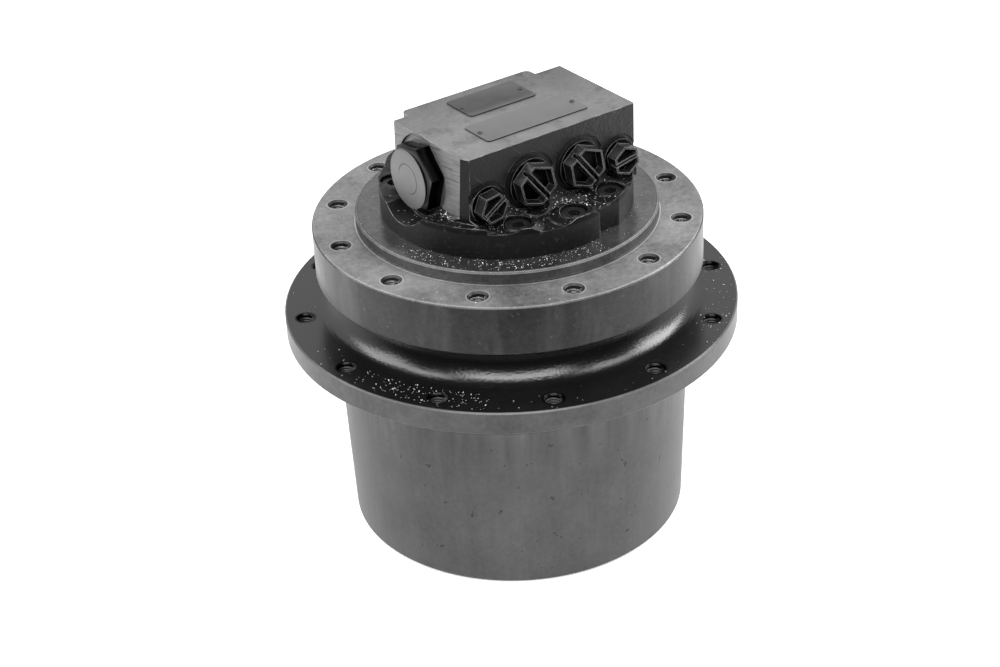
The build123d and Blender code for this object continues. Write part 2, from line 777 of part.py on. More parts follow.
# Motor shaft: journal, spline for the cylinder block, ball bearing seat and the tail in the first sun
journal_top = spigot_face + top_journal_length
with BuildPart() as motor_shaft:
    revolve(section(
        (0, tail_low),
        (shaft_tail_r, tail_low),
        (shaft_tail_r, nose_low),
        (shaft_bore_r, nose_low),
        (shaft_bore_r, motor_floor),
        (shaft_bore_r + 3, motor_floor),
        (shaft_bore_r + 3, motor_floor + 4),
        (shaft_spline_r, motor_floor + 4),
        (shaft_spline_r, block_top),
        (top_journal_r, block_top + 1),
        (top_journal_r, journal_top),
        (0, journal_top),
    ), axis=Axis.Z)
    chamfer(round_edges(motor_shaft, top_journal_r, journal_top), edge)
    chamfer(round_edges(motor_shaft, shaft_tail_r, tail_low), edge)
save(motor_shaft, "motor_shaft")

# Swash plate, which the slippers run on, drawn square to the shaft
with BuildPart() as swash_plate:
    revolve(box_section(shaft_bore_r + 6, swash_r, motor_floor, swash_top), axis=Axis.Z)
    chamfer(round_edges(swash_plate, swash_r, swash_top), edge)
save(swash_plate, "swash_plate")

# Pistons, each with its slipper
slipper_low = swash_top + face_gap
with BuildPart() as pistons:
    with PolarLocations(piston_circle_r, piston_count):
        with Locations((0, 0, slipper_low)):
            Cylinder(slipper_r, slipper_height - 1, align=(Align.CENTER, Align.CENTER, Align.MIN))
            Cylinder(slipper_neck, slipper_height + slipper_ball + 1,
                     align=(Align.CENTER, Align.CENTER, Align.MIN))
        with Locations((0, 0, slipper_low + slipper_height + slipper_ball)):
            Cylinder(piston_r, piston_length - slipper_height - slipper_ball,
                     align=(Align.CENTER, Align.CENTER, Align.MIN))
save(pistons, "pistons")

# Retainer plate that holds the slippers down, and the ball guide that presses it
retainer_low = slipper_low + slipper_height - 1 + 0.1
guide_r = 17.0
with BuildPart() as retainer_plate:
    with BuildSketch(Plane.XY.offset(retainer_low)):
        Circle(block_r)
        Circle(guide_r + 0.3, mode=Mode.SUBTRACT)
        with PolarLocations(piston_circle_r, piston_count):
            Circle(slipper_neck + 0.6, mode=Mode.SUBTRACT)
    extrude(amount=retainer_thickness)
save(retainer_plate, "retainer_plate")

with BuildPart() as ball_guide:
    revolve(section(
        (shaft_spline_r + seat, retainer_low - 1),
        (guide_r - 2, retainer_low - 1),
        (guide_r, retainer_low + 1.5),
        (guide_r, retainer_low + retainer_thickness + 1.5),
        (guide_r - 1.5, block_low - 0.2),
        (shaft_spline_r + seat, block_low - 0.2),
    ), axis=Axis.Z)
save(ball_guide, "ball_guide")

# Cylinder block: nine bores with kidney ports to the valve plate, and splines for the brake plates
bore_top = slipper_low + piston_length + 3
with BuildPart() as cylinder_block:
    with BuildSketch(Plane.XY.offset(block_low)):
        Circle(block_r)
        Circle(shaft_spline_r + seat, mode=Mode.SUBTRACT)
        with PolarLocations(block_r, piston_count, start_angle=180 / piston_count):
            Rectangle(5, 5, mode=Mode.SUBTRACT)
    extrude(amount=block_height)
    with BuildSketch(Plane.XY.offset(block_low)):
        with PolarLocations(piston_circle_r, piston_count):
            Circle(piston_r + seat)
    extrude(amount=bore_top - block_low, mode=Mode.SUBTRACT)
    with BuildSketch(Plane.XY.offset(bore_top)):
        with PolarLocations(piston_circle_r - 1, piston_count):
            SlotOverall(12, 6, rotation=90)
    extrude(amount=block_top - bore_top, mode=Mode.SUBTRACT)
    with Locations((0, 0, block_low)):
        Cylinder(shaft_spline_r + 4, barrel_spring_room, align=(Align.CENTER, Align.CENTER, Align.MIN),
                 mode=Mode.SUBTRACT)
save(cylinder_block, "cylinder_block")

# Spring round the shaft that presses the block on the valve plate
barrel_spring_r = shaft_spline_r + 2.0
barrel_spring_height = barrel_spring_room - 3.0
with BuildPart() as barrel_spring:
    with BuildLine():
        coil = Helix(barrel_spring_height / 6, barrel_spring_height - 2 * barrel_spring_wire - 0.4, barrel_spring_r,
                     center=(0, 0, block_low + barrel_spring_wire + 1.6))
    with BuildSketch(Plane(origin=coil @ 0, z_dir=coil % 0)):
        Circle(barrel_spring_wire)
    sweep(is_frenet=True)
save(barrel_spring, "barrel_spring")

# Valve plate with two kidney slots, between the block and the motor casting
with BuildPart() as valve_plate_disc:
    with BuildSketch(Plane.XY.offset(block_top + face_gap)):
        Circle(block_r)
        Circle(top_journal_r + 4, mode=Mode.SUBTRACT)
        for start in (-65, 115):
            SlotArc(CenterArc((0, 0), piston_circle_r - 1, start, 130), 6, mode=Mode.SUBTRACT)
    extrude(amount=valve_plate)
save(valve_plate_disc, "valve_plate")

# Parking brake: steel plates keyed in the hub's bore, friction plates keyed on the cylinder block
steel_pitch = 2 * (brake_plate + brake_plate_gap)
with BuildPart() as brake_steel_plates:
    for index in range(brake_steel_count):
        with BuildSketch(Plane.XY.offset(brake_shelf + brake_plate_gap + index * steel_pitch)):
            Circle(motor_bore_r - 0.4)
            Circle(block_r + 3.5, mode=Mode.SUBTRACT)
            if index < 2:
                with PolarLocations(motor_bore_r - 1, 4, start_angle=45):
                    Rectangle(5, 4.6)
        extrude(amount=brake_plate)
save(brake_steel_plates, "brake_steel_plates")

with BuildPart() as brake_friction_plates:
    for index in range(brake_steel_count - 1):
        with BuildSketch(Plane.XY.offset(brake_shelf + brake_plate_gap + (index + 0.5) * steel_pitch)):
            Circle(motor_bore_r - 3)
            Circle(block_r + 0.3, mode=Mode.SUBTRACT)
            with PolarLocations(block_r - 0.4, piston_count, start_angle=180 / piston_count):
                Rectangle(3.2, 4.4)
        extrude(amount=brake_plate)
save(brake_friction_plates, "brake_friction_plates")

# Brake piston with two seal grooves, and the disc spring that presses it down
piston_low = brake_shelf + brake_plate_gap + brake_steel_count * steel_pitch - brake_plate
piston_top = piston_low + brake_piston_height
with BuildPart() as brake_piston:
    revolve(section(
        (brake_piston_in_r, piston_low),
        (motor_bore_r - 4, piston_low),
        (motor_bore_r - running, piston_low + 4),
        (motor_bore_r - running, piston_low + 8),
        (motor_bore_r - 2.5, piston_low + 8),
        (motor_bore_r - 2.5, piston_low + 11.2),
        (motor_bore_r - running, piston_low + 11.2),
        (motor_bore_r - running, piston_top),
        (brake_piston_in_r, piston_top),
    ), axis=Axis.Z)
save(brake_piston, "brake_piston")

with BuildPart() as brake_spring:
    revolve(section(
        (motor_bore_r - 3, piston_top + 0.1),
        (motor_bore_r - 3, piston_top + 2.5),
        (brake_piston_in_r + 2, spigot_face - 0.1),
        (brake_piston_in_r + 2, spigot_face - 2.5),
    ), axis=Axis.Z)
save(brake_spring, "brake_spring")

# Valve housing: the motor's end casting, a round base and a ported block in one
valve_left = valve_shift - valve_length / 2
valve_right = valve_shift + valve_length / 2
end_lean = valve_height * math.tan(math.radians(valve_end_draft))
main_ports = [valve_shift + main_port_shift + side * main_port_x for side in (-1, 1)]
small_ports = [valve_shift + side * small_port_x for side in (-1, 1)]
ports = [(x, main_port_z, main_port_r, main_spotface_r) for x in main_ports]
ports += [(x, small_port_z, small_port_r, small_spotface_r) for x in small_ports]
ring_groove = 2.4

# The cast forms on the round base: screw bosses, lands, the apron under the ports and the block's feet
with BuildPart() as casting_foot:
    with Locations((0, 0, base_top)):
        for turn in screw_turns:
            with PolarLocations(screw_circle_r, 1, start_angle=turn):
                Cone(boss_r + boss_foot, boss_r, boss_height, align=(Align.CENTER, Align.CENTER, Align.MIN))
    with BuildSketch(Plane.XY.offset(base_top)):
        for side, x in ((-1, valve_left), (1, valve_right)):
            Polygon(
                (x - side * 6, -land_far),
                (x + side * base_wall, -land_far),
                (x + side * base_wall, -land_near),
                (x - side * 6, -land_near),
                align=None,
            )
    extrude(amount=boss_height)
    with BuildSketch(Plane.YZ.offset(valve_left)):
        Polygon(
            (-valve_front + 2, base_top),
            (-valve_front - apron_reach, base_top),
            (-valve_front, base_top + apron_height),
            (-valve_front + 2, base_top + apron_height),
            align=None,
        )
    extrude(amount=valve_length)
    with BuildSketch(Plane.XZ.offset(-valve_back)):
        for side, x in ((-1, valve_left - end_lean), (1, valve_right + end_lean)):
            Polygon(
                (x - side * 4, base_top),
                (x + side * end_foot, base_top),
                (x + side * end_foot, boss_top),
                (x, boss_top + end_foot),
                (x - side * 4, boss_top + end_foot),
                align=None,
            )
    extrude(amount=valve_front + valve_back)
    with Locations((0, 0, base_top)):
        Cylinder(base_r, valve_height, align=(Align.CENTER, Align.CENTER, Align.MIN), mode=Mode.INTERSECT)

with BuildPart() as valve_housing:
    revolve(section(
        (0, spigot_face),
        (motor_bore_r - running, spigot_face),
        (motor_bore_r - running, spigot_face + 2.6),
        (motor_bore_r - ring_groove, spigot_face + 2.6),
        (motor_bore_r - ring_groove, spigot_face + 5.6),
        (motor_bore_r - running, spigot_face + 5.6),
        (motor_bore_r - running, pilot_top),
        (base_r, pilot_top),
        (base_r, base_top),
        (0, base_top),
    ), axis=Axis.Z)
    with BuildSketch(Plane.XZ.offset(-valve_back)):
        with BuildLine():
            Polyline(
                (valve_left - end_lean, base_top - 3),
                (valve_right + end_lean, base_top - 3),
                (valve_right, valve_top),
                (valve_left, valve_top),
                close=True,
            )
        make_face()
    extrude(amount=valve_front + valve_back)
    # The middle of the back stands further out than the ends
    with BuildSketch(Plane.XY.offset(base_top - 3)):
        with BuildLine():
            Polyline(
                (valve_boss_left, valve_back - 1),
                (valve_boss_left, valve_boss_back),
                (valve_boss_right, valve_boss_back),
                (valve_boss_right, valve_back - 1),
                close=True,
            )
        boss = make_face()
        fillet(boss.vertices().group_by(Axis.Y)[-1], 4)
    extrude(amount=valve_height + 3)
    add(casting_foot.part)
    # The two front corners are cut back, the left one far, and twice as far along the ends as along the front
    with BuildSketch(Plane.XY.offset(boss_top)):
        for side, x, cut in ((-1, valve_left, left_corner_cut), (1, valve_right, right_corner_cut)):
            Polygon(
                (x - side * 2 * cut, -valve_front - 2 * cut),
                (x + side * 2 * cut, -valve_front - 2 * cut),
                (x + side * 2 * cut, -valve_front + 6 * cut),
                align=None,
            )
    extrude(amount=valve_height, mode=Mode.SUBTRACT)
    # Wrench room round each end plug and each port, which runs out over the round base
    for side, face_x in ((-1, valve_left), (1, valve_right)):
        with BuildSketch(Plane(origin=(face_x - side * end_spotface_depth, 0, spool_z), z_dir=(side, 0, 0))):
            Circle(end_spotface_r)
        extrude(amount=2 * base_wall, mode=Mode.SUBTRACT)
        with BuildSketch(Plane(origin=(face_x + side * (end_lean + end_foot), 0, spool_z), z_dir=(side, 0, 0))):
            Circle(end_spotface_r + end_groove)
        extrude(amount=2 * base_wall, mode=Mode.SUBTRACT)
    for x, z, bore_r, spotface_r in ports:
        with BuildSketch(Plane(origin=(x, -valve_front + port_front_depth, z), z_dir=(0, -1, 0))):
            Circle(spotface_r)
        extrude(amount=2 * base_wall, mode=Mode.SUBTRACT)
        with BuildSketch(Plane(origin=(x, -valve_front + port_front_depth, z), z_dir=(0, 1, 0))):
            Circle(bore_r)
        extrude(amount=port_depth, mode=Mode.SUBTRACT)
    for x in main_ports:
        with BuildSketch(Plane(origin=(x, -valve_front + port_depth, main_port_z), z_dir=(0, 1, 0))):
            Circle(4)
        extrude(amount=valve_front - port_depth, mode=Mode.SUBTRACT)
    # The spool's bore runs from end to end, wider where the end plugs screw in
    with BuildSketch(Plane(origin=(valve_left - 5, 0, spool_z), z_dir=(1, 0, 0))):
        Circle(spool_r + running)
    extrude(amount=valve_length + 10, mode=Mode.SUBTRACT)
    for side, face_x in ((-1, valve_left), (1, valve_right)):
        with BuildSketch(Plane(origin=(face_x, 0, spool_z), z_dir=(-side, 0, 0))):
            Circle(end_plug_stem_r + seat)
        extrude(amount=end_plug_stem + end_spotface_depth + 2, mode=Mode.SUBTRACT)
    # Counterbores and holes of the base screws, with room for the key above them
    for turn in screw_turns:
        with Locations((0, 0, screw_top)):
            with PolarLocations(screw_circle_r, 1, start_angle=turn):
                Cylinder(screw_head_r + 0.5, valve_height / 3, align=(Align.CENTER, Align.CENTER, Align.MIN),
                         mode=Mode.SUBTRACT)
                CounterBoreHole(clear_m10, screw_head_r + 0.5, screw_head_height, base_height + boss_height)
    # A notch in the rim, steep at one end, shows which way round the motor goes
    notch = [
        (base_r - notch_depth, notch_start),
        (base_r + 2, notch_start),
        (base_r + 2, notch_end),
        (base_r, notch_end),
    ]
    with BuildSketch(Plane.XY.offset(pilot_top)):
        Polygon(
            *[(r * math.cos(math.radians(turn)), r * math.sin(math.radians(turn))) for r, turn in notch],
            align=None,
        )
    extrude(amount=base_height + boss_height, mode=Mode.SUBTRACT)
    with Locations((0, 0, spigot_face)):
        Cylinder(journal_seat_r, top_journal_length + 2, align=(Align.CENTER, Align.CENTER, Align.MIN),
                 mode=Mode.SUBTRACT)
save(valve_housing, "valve_housing")

# Needle bearing of the shaft's top journal, in the casting
with BuildPart() as needle_bearing:
    inner_r, outer_r = top_journal_r + running, journal_seat_r - seat
    revolve(box_section(inner_r, outer_r, spigot_face + 0.5, journal_top), axis=Axis.Z)
save(needle_bearing, "shaft_needle_bearing")

# O-ring between the motor's spigot and the frame hub
with BuildPart() as casing_o_ring:
    with BuildSketch(Plane.XZ):
        with Locations((motor_bore_r - 1.2, spigot_face + 4.1)):
            Circle(1.15)
    revolve(axis=Axis.Z)
save(casing_o_ring, "casing_o_ring")

# Socket screws that hold the motor on the frame hub
with BuildPart() as motor_screws:
    for turn in screw_turns:
        with PolarLocations(screw_circle_r, 1, start_angle=turn):
            with Locations((0, 0, screw_seat)):
                Cylinder(screw_head_r, screw_head_height - 0.3, align=(Align.CENTER, Align.CENTER, Align.MIN))
            with Locations((0, 0, screw_seat - screw_length)):
                Cylinder(tap_m10 - seat, screw_length, align=(Align.CENTER, Align.CENTER, Align.MIN))
    chamfer(motor_screws.faces().group_by(Axis.Z)[-1].edges(), 0.8)
    with BuildSketch(Plane.XY.offset(screw_top - 0.3)):
        for turn in screw_turns:
            with PolarLocations(screw_circle_r, 1, start_angle=turn):
                RegularPolygon(socket_m10, 6)
    extrude(amount=-(screw_head_height - 4.5), mode=Mode.SUBTRACT)
save(motor_screws, "motor_screws")

# Port plugs: moulded caps with a round flange and a hollow hex head, crossed by a slotted bar
plug_kinds = (
    ("main_port_plugs", main_ports, main_port_z, main_port_r, main_flange_r, main_hex_r, main_bar,
     (43, 39), (-52, -52)),
    ("small_port_plugs", small_ports, small_port_z, small_port_r, small_flange_r, small_hex_r, small_bar,
     (8, 40), (33, 10)),
)
flange_back = -valve_front + port_front_depth
for label, places, z, bore_r, flange_r, hex_r, bar, hex_turns, bar_turns in plug_kinds:
    with BuildPart() as port_plugs:
        for x, hex_turn, bar_turn in zip(places, hex_turns, bar_turns):
            face = Plane(origin=(x, flange_back, z), x_dir=(1, 0, 0), z_dir=(0, -1, 0))
            with BuildSketch(face):
                Circle(flange_r)
            extrude(amount=plug_flange)
            with BuildSketch(face):
                Circle(bore_r - running)
            extrude(amount=-port_depth * 0.6)
            with BuildSketch(face.offset(plug_flange)):
                RegularPolygon(hex_r, 6, rotation=hex_turn)
            extrude(amount=plug_hex)
            with BuildSketch(face.offset(plug_flange + plug_hex)):
                RegularPolygon(hex_r - plug_rim, 6, rotation=hex_turn)
            extrude(amount=-plug_well, mode=Mode.SUBTRACT)
            bar_length = 2 * hex_r * math.cos(math.pi / 6) - plug_rim
            with BuildSketch(face.offset(plug_flange + plug_hex - plug_well)):
                Rectangle(bar_length, bar, rotation=bar_turn)
            extrude(amount=plug_well - 0.4)
            with BuildSketch(face.offset(plug_flange + plug_hex)):
                Rectangle(3 * hex_r, bar - 2 * bar_wall, rotation=bar_turn)
            extrude(amount=-plug_well + 0.8, mode=Mode.SUBTRACT)
    save(port_plugs, label)

# End plugs of the spool's bore, hollow inside for the springs: a big hex with a turned face on the left,
# and a low round one with a small hex on the right
plug_out = end_plug_hex + end_spotface_depth
with BuildPart() as end_plugs:
    for side, face_x in ((-1, valve_left), (1, valve_right)):
        face = Plane(origin=(face_x - side * end_spotface_depth, 0, spool_z), x_dir=(0, 1, 0), z_dir=(side, 0, 0))
        if side < 0:
            with BuildSketch(face):
                RegularPolygon(end_plug_hex_r, 6, rotation=12)
            extrude(amount=plug_out)
        else:
            with BuildSketch(face):
                Circle(end_plug_face_r)
            extrude(amount=cap_flange)
            with BuildSketch(face.offset(cap_flange)):
                RegularPolygon(cap_hex_r, 6, rotation=12)
            extrude(amount=cap_hex)
        with BuildSketch(face):
            Circle(end_plug_stem_r)
        extrude(amount=-end_plug_stem)
        with BuildSketch(face.offset(-end_plug_stem)):
            Circle(end_plug_stem_r - end_plug_wall)
        extrude(amount=end_plug_stem - 1, mode=Mode.SUBTRACT)
        # The corners of the hex are turned down to a cone at its face
        if side < 0:
            with BuildSketch(face.offset(plug_out)):
                Circle(end_plug_hex_r + 4)
                Circle(end_plug_face_r, mode=Mode.SUBTRACT)
            extrude(amount=-(end_plug_hex_r - end_plug_face_r), taper=-45, mode=Mode.SUBTRACT)
save(end_plugs, "spool_end_plugs")

# Counterbalance spool with four lands
land = spool_length / 7
with BuildPart() as spool:
    with BuildSketch(Plane(origin=(valve_shift - spool_length / 2, 0, spool_z), z_dir=(1, 0, 0))):
        Circle(spool_r - 3)
    extrude(amount=spool_length)
    for index in (0, 2, 4, 6):
        land_x = valve_shift - spool_length / 2 + index * land
        with BuildSketch(Plane(origin=(land_x, 0, spool_z), z_dir=(1, 0, 0))):
            Circle(spool_r)
        extrude(amount=land)
save(spool, "counterbalance_spool")

# Springs that centre the spool, one in each end plug
spring_start = spool_length / 2 + spring_wire + 0.2
spring_height = valve_length / 2 - end_spotface_depth - 1 - spring_wire - 0.2 - spring_start
with BuildPart() as spool_springs:
    for side in (-1, 1):
        start = valve_shift + side * spring_start
        with BuildLine():
            coil = Helix(spring_height / spring_turns, spring_height, spool_r - 2.6,
                         center=(start, 0, spool_z), direction=(side, 0, 0))
        with BuildSketch(Plane(origin=coil @ 0, z_dir=coil % 0)):
            Circle(spring_wire)
        sweep(path=coil, is_frenet=True)
save(spool_springs, "spool_springs")

# Name plates, bare, each held by two round-headed drive rivets
plates = (
    (back_plate_y, back_plate_length, back_plate_width),
    (front_plate_y, front_plate_length, front_plate_width),
)
with BuildPart() as name_plates:
    for y, length, width in plates:
        with BuildSketch(Plane.XY.offset(valve_top)):
            with Locations((valve_shift, y)):
                RectangleRounded(length, width, plate_corner)
        extrude(amount=name_plate)
save(name_plates, "name_plates")

with BuildPart() as plate_rivets:
    for y, length, _ in plates:
        for side in (-1, 1):
            with Locations((valve_shift + side * (length / 2 - rivet_inset), y, valve_top + name_plate)):
                Cylinder(rivet_r, 0.7, align=(Align.CENTER, Align.CENTER, Align.MIN))
    chamfer(plate_rivets.faces().group_by(Axis.Z)[-1].edges(), 0.4)
save(plate_rivets, "plate_rivets")
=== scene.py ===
import json
import math
import random

import bpy
from mathutils import Matrix, Vector
from mathutils.bvhtree import BVHTree

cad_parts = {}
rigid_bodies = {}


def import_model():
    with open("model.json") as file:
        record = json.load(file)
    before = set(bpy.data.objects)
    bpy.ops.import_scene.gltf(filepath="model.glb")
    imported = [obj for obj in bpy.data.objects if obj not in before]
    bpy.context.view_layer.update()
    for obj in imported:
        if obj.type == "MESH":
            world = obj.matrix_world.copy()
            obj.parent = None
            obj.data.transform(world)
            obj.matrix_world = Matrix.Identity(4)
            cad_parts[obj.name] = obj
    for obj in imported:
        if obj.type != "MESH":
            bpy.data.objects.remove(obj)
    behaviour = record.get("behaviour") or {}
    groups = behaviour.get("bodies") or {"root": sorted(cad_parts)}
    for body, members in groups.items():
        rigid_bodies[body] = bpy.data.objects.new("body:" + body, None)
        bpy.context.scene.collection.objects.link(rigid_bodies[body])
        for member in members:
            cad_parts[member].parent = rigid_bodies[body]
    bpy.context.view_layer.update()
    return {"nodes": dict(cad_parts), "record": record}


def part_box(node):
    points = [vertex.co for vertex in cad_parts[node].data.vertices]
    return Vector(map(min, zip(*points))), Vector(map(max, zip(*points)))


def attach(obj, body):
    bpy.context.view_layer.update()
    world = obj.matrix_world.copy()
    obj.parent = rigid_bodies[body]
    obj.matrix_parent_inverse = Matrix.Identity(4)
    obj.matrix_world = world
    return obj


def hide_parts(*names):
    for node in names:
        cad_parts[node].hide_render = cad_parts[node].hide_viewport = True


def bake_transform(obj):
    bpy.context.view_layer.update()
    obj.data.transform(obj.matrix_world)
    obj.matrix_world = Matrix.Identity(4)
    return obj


# The frame: the drive's solids, packed, each riding on its body
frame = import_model()
record = frame["record"]
for thing in bpy.data.objects:
    thing.select_set(False)

# Camera
# A short telephoto shot from above the ports' left corner. The block's length lies along X, and the
# camera stands 34 degrees round from the port side, a little rolled.
camera_turn = math.radians(-34.4)
camera_rise = math.radians(30.52)
camera_roll = math.radians(-2.70)
camera_distance = 1.3655
look_at = Vector((-0.00817, 0, 0.11906))

camera_data = bpy.data.cameras.new("camera")
camera_data.sensor_width = 36.0
camera_data.lens = 75.93
camera = bpy.data.objects.new("camera", camera_data)
bpy.context.collection.objects.link(camera)
around = Matrix.Rotation(camera_turn, 4, "Z")
tilt = Matrix.Rotation(math.pi / 2 - camera_rise, 4, "X")
roll = Matrix.Rotation(camera_roll, 4, "Z")
view_line = around @ Vector((0, math.cos(camera_rise), -math.sin(camera_rise)))
stand = around @ look_at - view_line * camera_distance
camera.matrix_world = Matrix.Translation(stand) @ around @ tilt @ roll
bpy.context.scene.camera = camera
bpy.context.scene.view_settings.view_transform = "Standard"


# Floor
# A white sheet under the drive, which takes its soft shadow. The camera sees it as white as the
# room, and reflections see it dim on the side the drive is seen from.
class Wire:
    """A socket of a material, so that shader maths reads as Python."""

    def __init__(self, paint, socket):
        self.paint = paint
        self.socket = socket

    def math(self, operation, *others):
        return self.paint.node("Math", {"operation": operation}, [self, *others])

    def __add__(self, other):
        return self.math("ADD", other)

    __radd__ = __add__

    def __sub__(self, other):
        return self.math("SUBTRACT", other)

    def __rsub__(self, other):
        return self.paint.node("Math", {"operation": "SUBTRACT"}, [other, self])

    def __mul__(self, other):
        return self.math("MULTIPLY", other)

    __rmul__ = __mul__

    def __neg__(self):
        return self.math("MULTIPLY", -1.0)

    def power(self, other):
        return self.math("POWER", other)

    def larger(self, other):
        return self.math("MAXIMUM", other)

    def ramp(self, low, high):
        """0 at low and 1 at high, smooth between, and falling where low is the larger."""
        return self.paint.node("MapRange", {"interpolation_type": "SMOOTHSTEP"}, [self, low, high, 0.0, 1.0])

    def near(self, middle, reach):
        """1 at the middle value, falling to 0 a reach away."""
        return (self - middle).math("ABSOLUTE").ramp(reach, 0.0)


class Paint:
    """A material made of nodes, in the drive's own coordinates, in metres."""

    def __init__(self, name):
        self.material = bpy.data.materials.new(name)
        self.material.use_nodes = True
        self.tree = self.material.node_tree
        self.tree.nodes.clear()
        self.output = self.tree.nodes.new("ShaderNodeOutputMaterial")
        place = self.node("TexCoord", {}, {}, None)
        self.place = Wire(self, place.outputs["Object"])
        self.x, self.y, self.z = self.split(self.place)
        self.nx, self.ny, self.nz = self.split(Wire(self, place.outputs["Normal"]))
        self.radius = (self.x * self.x + self.y * self.y).power(0.5)
        self.angle = self.y.math("ARCTAN2", self.x)

    def node(self, kind, settings, values, out=0):
        """Adds a node, sets it, feeds its sockets, and gives one output, or the node when out is None."""
        made = self.tree.nodes.new("ShaderNode" + kind)
        for key, value in settings.items():
            setattr(made, key, value)
        pairs = values.items() if isinstance(values, dict) else enumerate(values)
        for key, value in pairs:
            if isinstance(value, Wire):
                self.tree.links.new(value.socket, made.inputs[key])
            else:
                made.inputs[key].default_value = value
        return made if out is None else Wire(self, made.outputs[out])

    def split(self, vector):
        parts = self.node("SeparateXYZ", {}, [vector], None)
        return [Wire(self, parts.outputs[axis]) for axis in "XYZ"]

    def vector(self, x, y, z):
        return self.node("CombineXYZ", {}, [x, y, z])

    def noise(self, scale, detail=4.0, rough=0.55, place=None):
        values = {"Vector": place or self.place, "Scale": scale, "Detail": detail, "Roughness": rough}
        return self.node("TexNoise", {}, values)

    def grain(self, along_x, along_y, along_z, detail=3.0):
        """Noise with its own scale along each axis, for grain that runs one way."""
        place = self.vector(self.x * along_x, self.y * along_y, self.z * along_z)
        return self.noise(1.0, detail, 0.6, place)

    def from_hole(self, circle, count, turn):
        """Distance from the axis of the nearest hole of a bolt circle."""
        aside = (self.angle - math.radians(turn)).math("PINGPONG", math.pi / count)
        across = self.radius * self.radius + circle * circle - self.radius * aside.math("COSINE") * (2 * circle)
        return across.larger(0.0).power(0.5)

    def rounded(self, width):
        """The surface's normal, with the piece's edges rounded over."""
        return self.node("Bevel", {"samples": 4}, {"Radius": width})

    def edges(self, width):
        """1 along the piece's edges and 0 on its faces."""
        rounded = self.rounded(width)
        face = self.node("NewGeometry", {}, {}, "Normal")
        same = self.node("VectorMath", {"operation": "DOT_PRODUCT"}, [rounded, face], "Value")
        return same.ramp(0.995, 0.93)

    def grey(self, shade, warmth=0.0):
        """A grey of the given brightness, a touch warm or cold."""
        return self.node("CombineColor", {}, [shade * (1 + warmth), shade, shade * (1 - warmth)])

    def bump(self, height, distance, strength=1.0, normal=None):
        values = {"Height": height, "Distance": distance, "Strength": strength}
        if normal:
            values["Normal"] = normal
        return self.node("Bump", {}, values)

    def finish(self, **sockets):
        """Ends the material in a Principled shader."""
        values = {name.replace("_", " "): value for name, value in sockets.items()}
        shader = self.node("BsdfPrincipled", {}, values)
        self.tree.links.new(shader.socket, self.output.inputs["Surface"])
        return self.material


bpy.ops.mesh.primitive_plane_add(size=12.0, location=(0, 0, -0.0002))
floor = bpy.context.object
floor.name = "floor"
floor.select_set(False)
sheet = Paint("floor_sheet")
rays = sheet.node("LightPath", {}, {}, None)
to_eye = Wire(sheet, rays.outputs["Is Camera Ray"])
to_gloss = Wire(sheet, rays.outputs["Is Glossy Ray"])
to_the_front = sheet.x * math.sin(camera_turn) - sheet.y * math.cos(camera_turn)
unlit = to_the_front.ramp(0.22, 0.5) * to_gloss * 0.8
glow_strength = to_eye * 0.62 + to_gloss * (1 - unlit) * 0.2
matt = sheet.node("BsdfDiffuse", {}, {"Color": sheet.grey(0.85 * (1 - unlit))})
white = sheet.node("Emission", {}, {"Color": (1, 1, 1, 1), "Strength": glow_strength})
both = sheet.node("AddShader", {}, [matt, white])
sheet.tree.links.new(both.socket, sheet.output.inputs["Surface"])
floor.data.materials.append(sheet.material)

# Studio
# A white sweep behind and beside the drive, and a dim room on the side it is seen from. A wide soft
# box hangs high in front, and two smaller ones on each side.
room_light = 0.32
lamp_aim = Vector((0, 0, 0.15))
room = bpy.data.worlds.new("room")
bpy.context.scene.world = room
room.use_nodes = True
room.node_tree.nodes.clear()


def room_node(kind, settings, *values):
    """Adds a node to the room, sets it, and links or sets its sockets in their order."""
    made = room.node_tree.nodes.new("ShaderNode" + kind)
    for key, value in settings.items():
        setattr(made, key, value)
    for index, value in enumerate(values):
        if hasattr(value, "is_output"):
            room.node_tree.links.new(value, made.inputs[index])
        else:
            made.inputs[index].default_value = value
    return made


ray = room_node("LightPath", {}).outputs
aim = room_node("TexCoord", {}).outputs["Generated"]
to_the_back = tuple(around @ Vector((0, 1, 0)))
behind = room_node("VectorMath", {"operation": "DOT_PRODUCT"}, aim, to_the_back).outputs["Value"]
sweep = room_node("MapRange", {"interpolation_type": "SMOOTHSTEP"}, behind, -0.25, 0.4, 0.1, 1.0).outputs[0]
gloss = room_node("Math", {"operation": "MULTIPLY"}, ray["Is Glossy Ray"], sweep).outputs[0]
dim = room_node("Math", {"operation": "MULTIPLY"}, ray["Is Diffuse Ray"], room_light).outputs[0]
wall = room_node("Math", {"operation": "MAXIMUM"}, gloss, dim).outputs[0]
open_ray = room_node("Math", {"operation": "MAXIMUM"}, ray["Is Camera Ray"], ray["Is Transmission Ray"]).outputs[0]
level = room_node("Math", {"operation": "MAXIMUM"}, wall, open_ray).outputs[0]
glow = room_node("Background", {}, (1, 1, 1, 1), level)
room_node("OutputWorld", {}, glow.outputs[0])

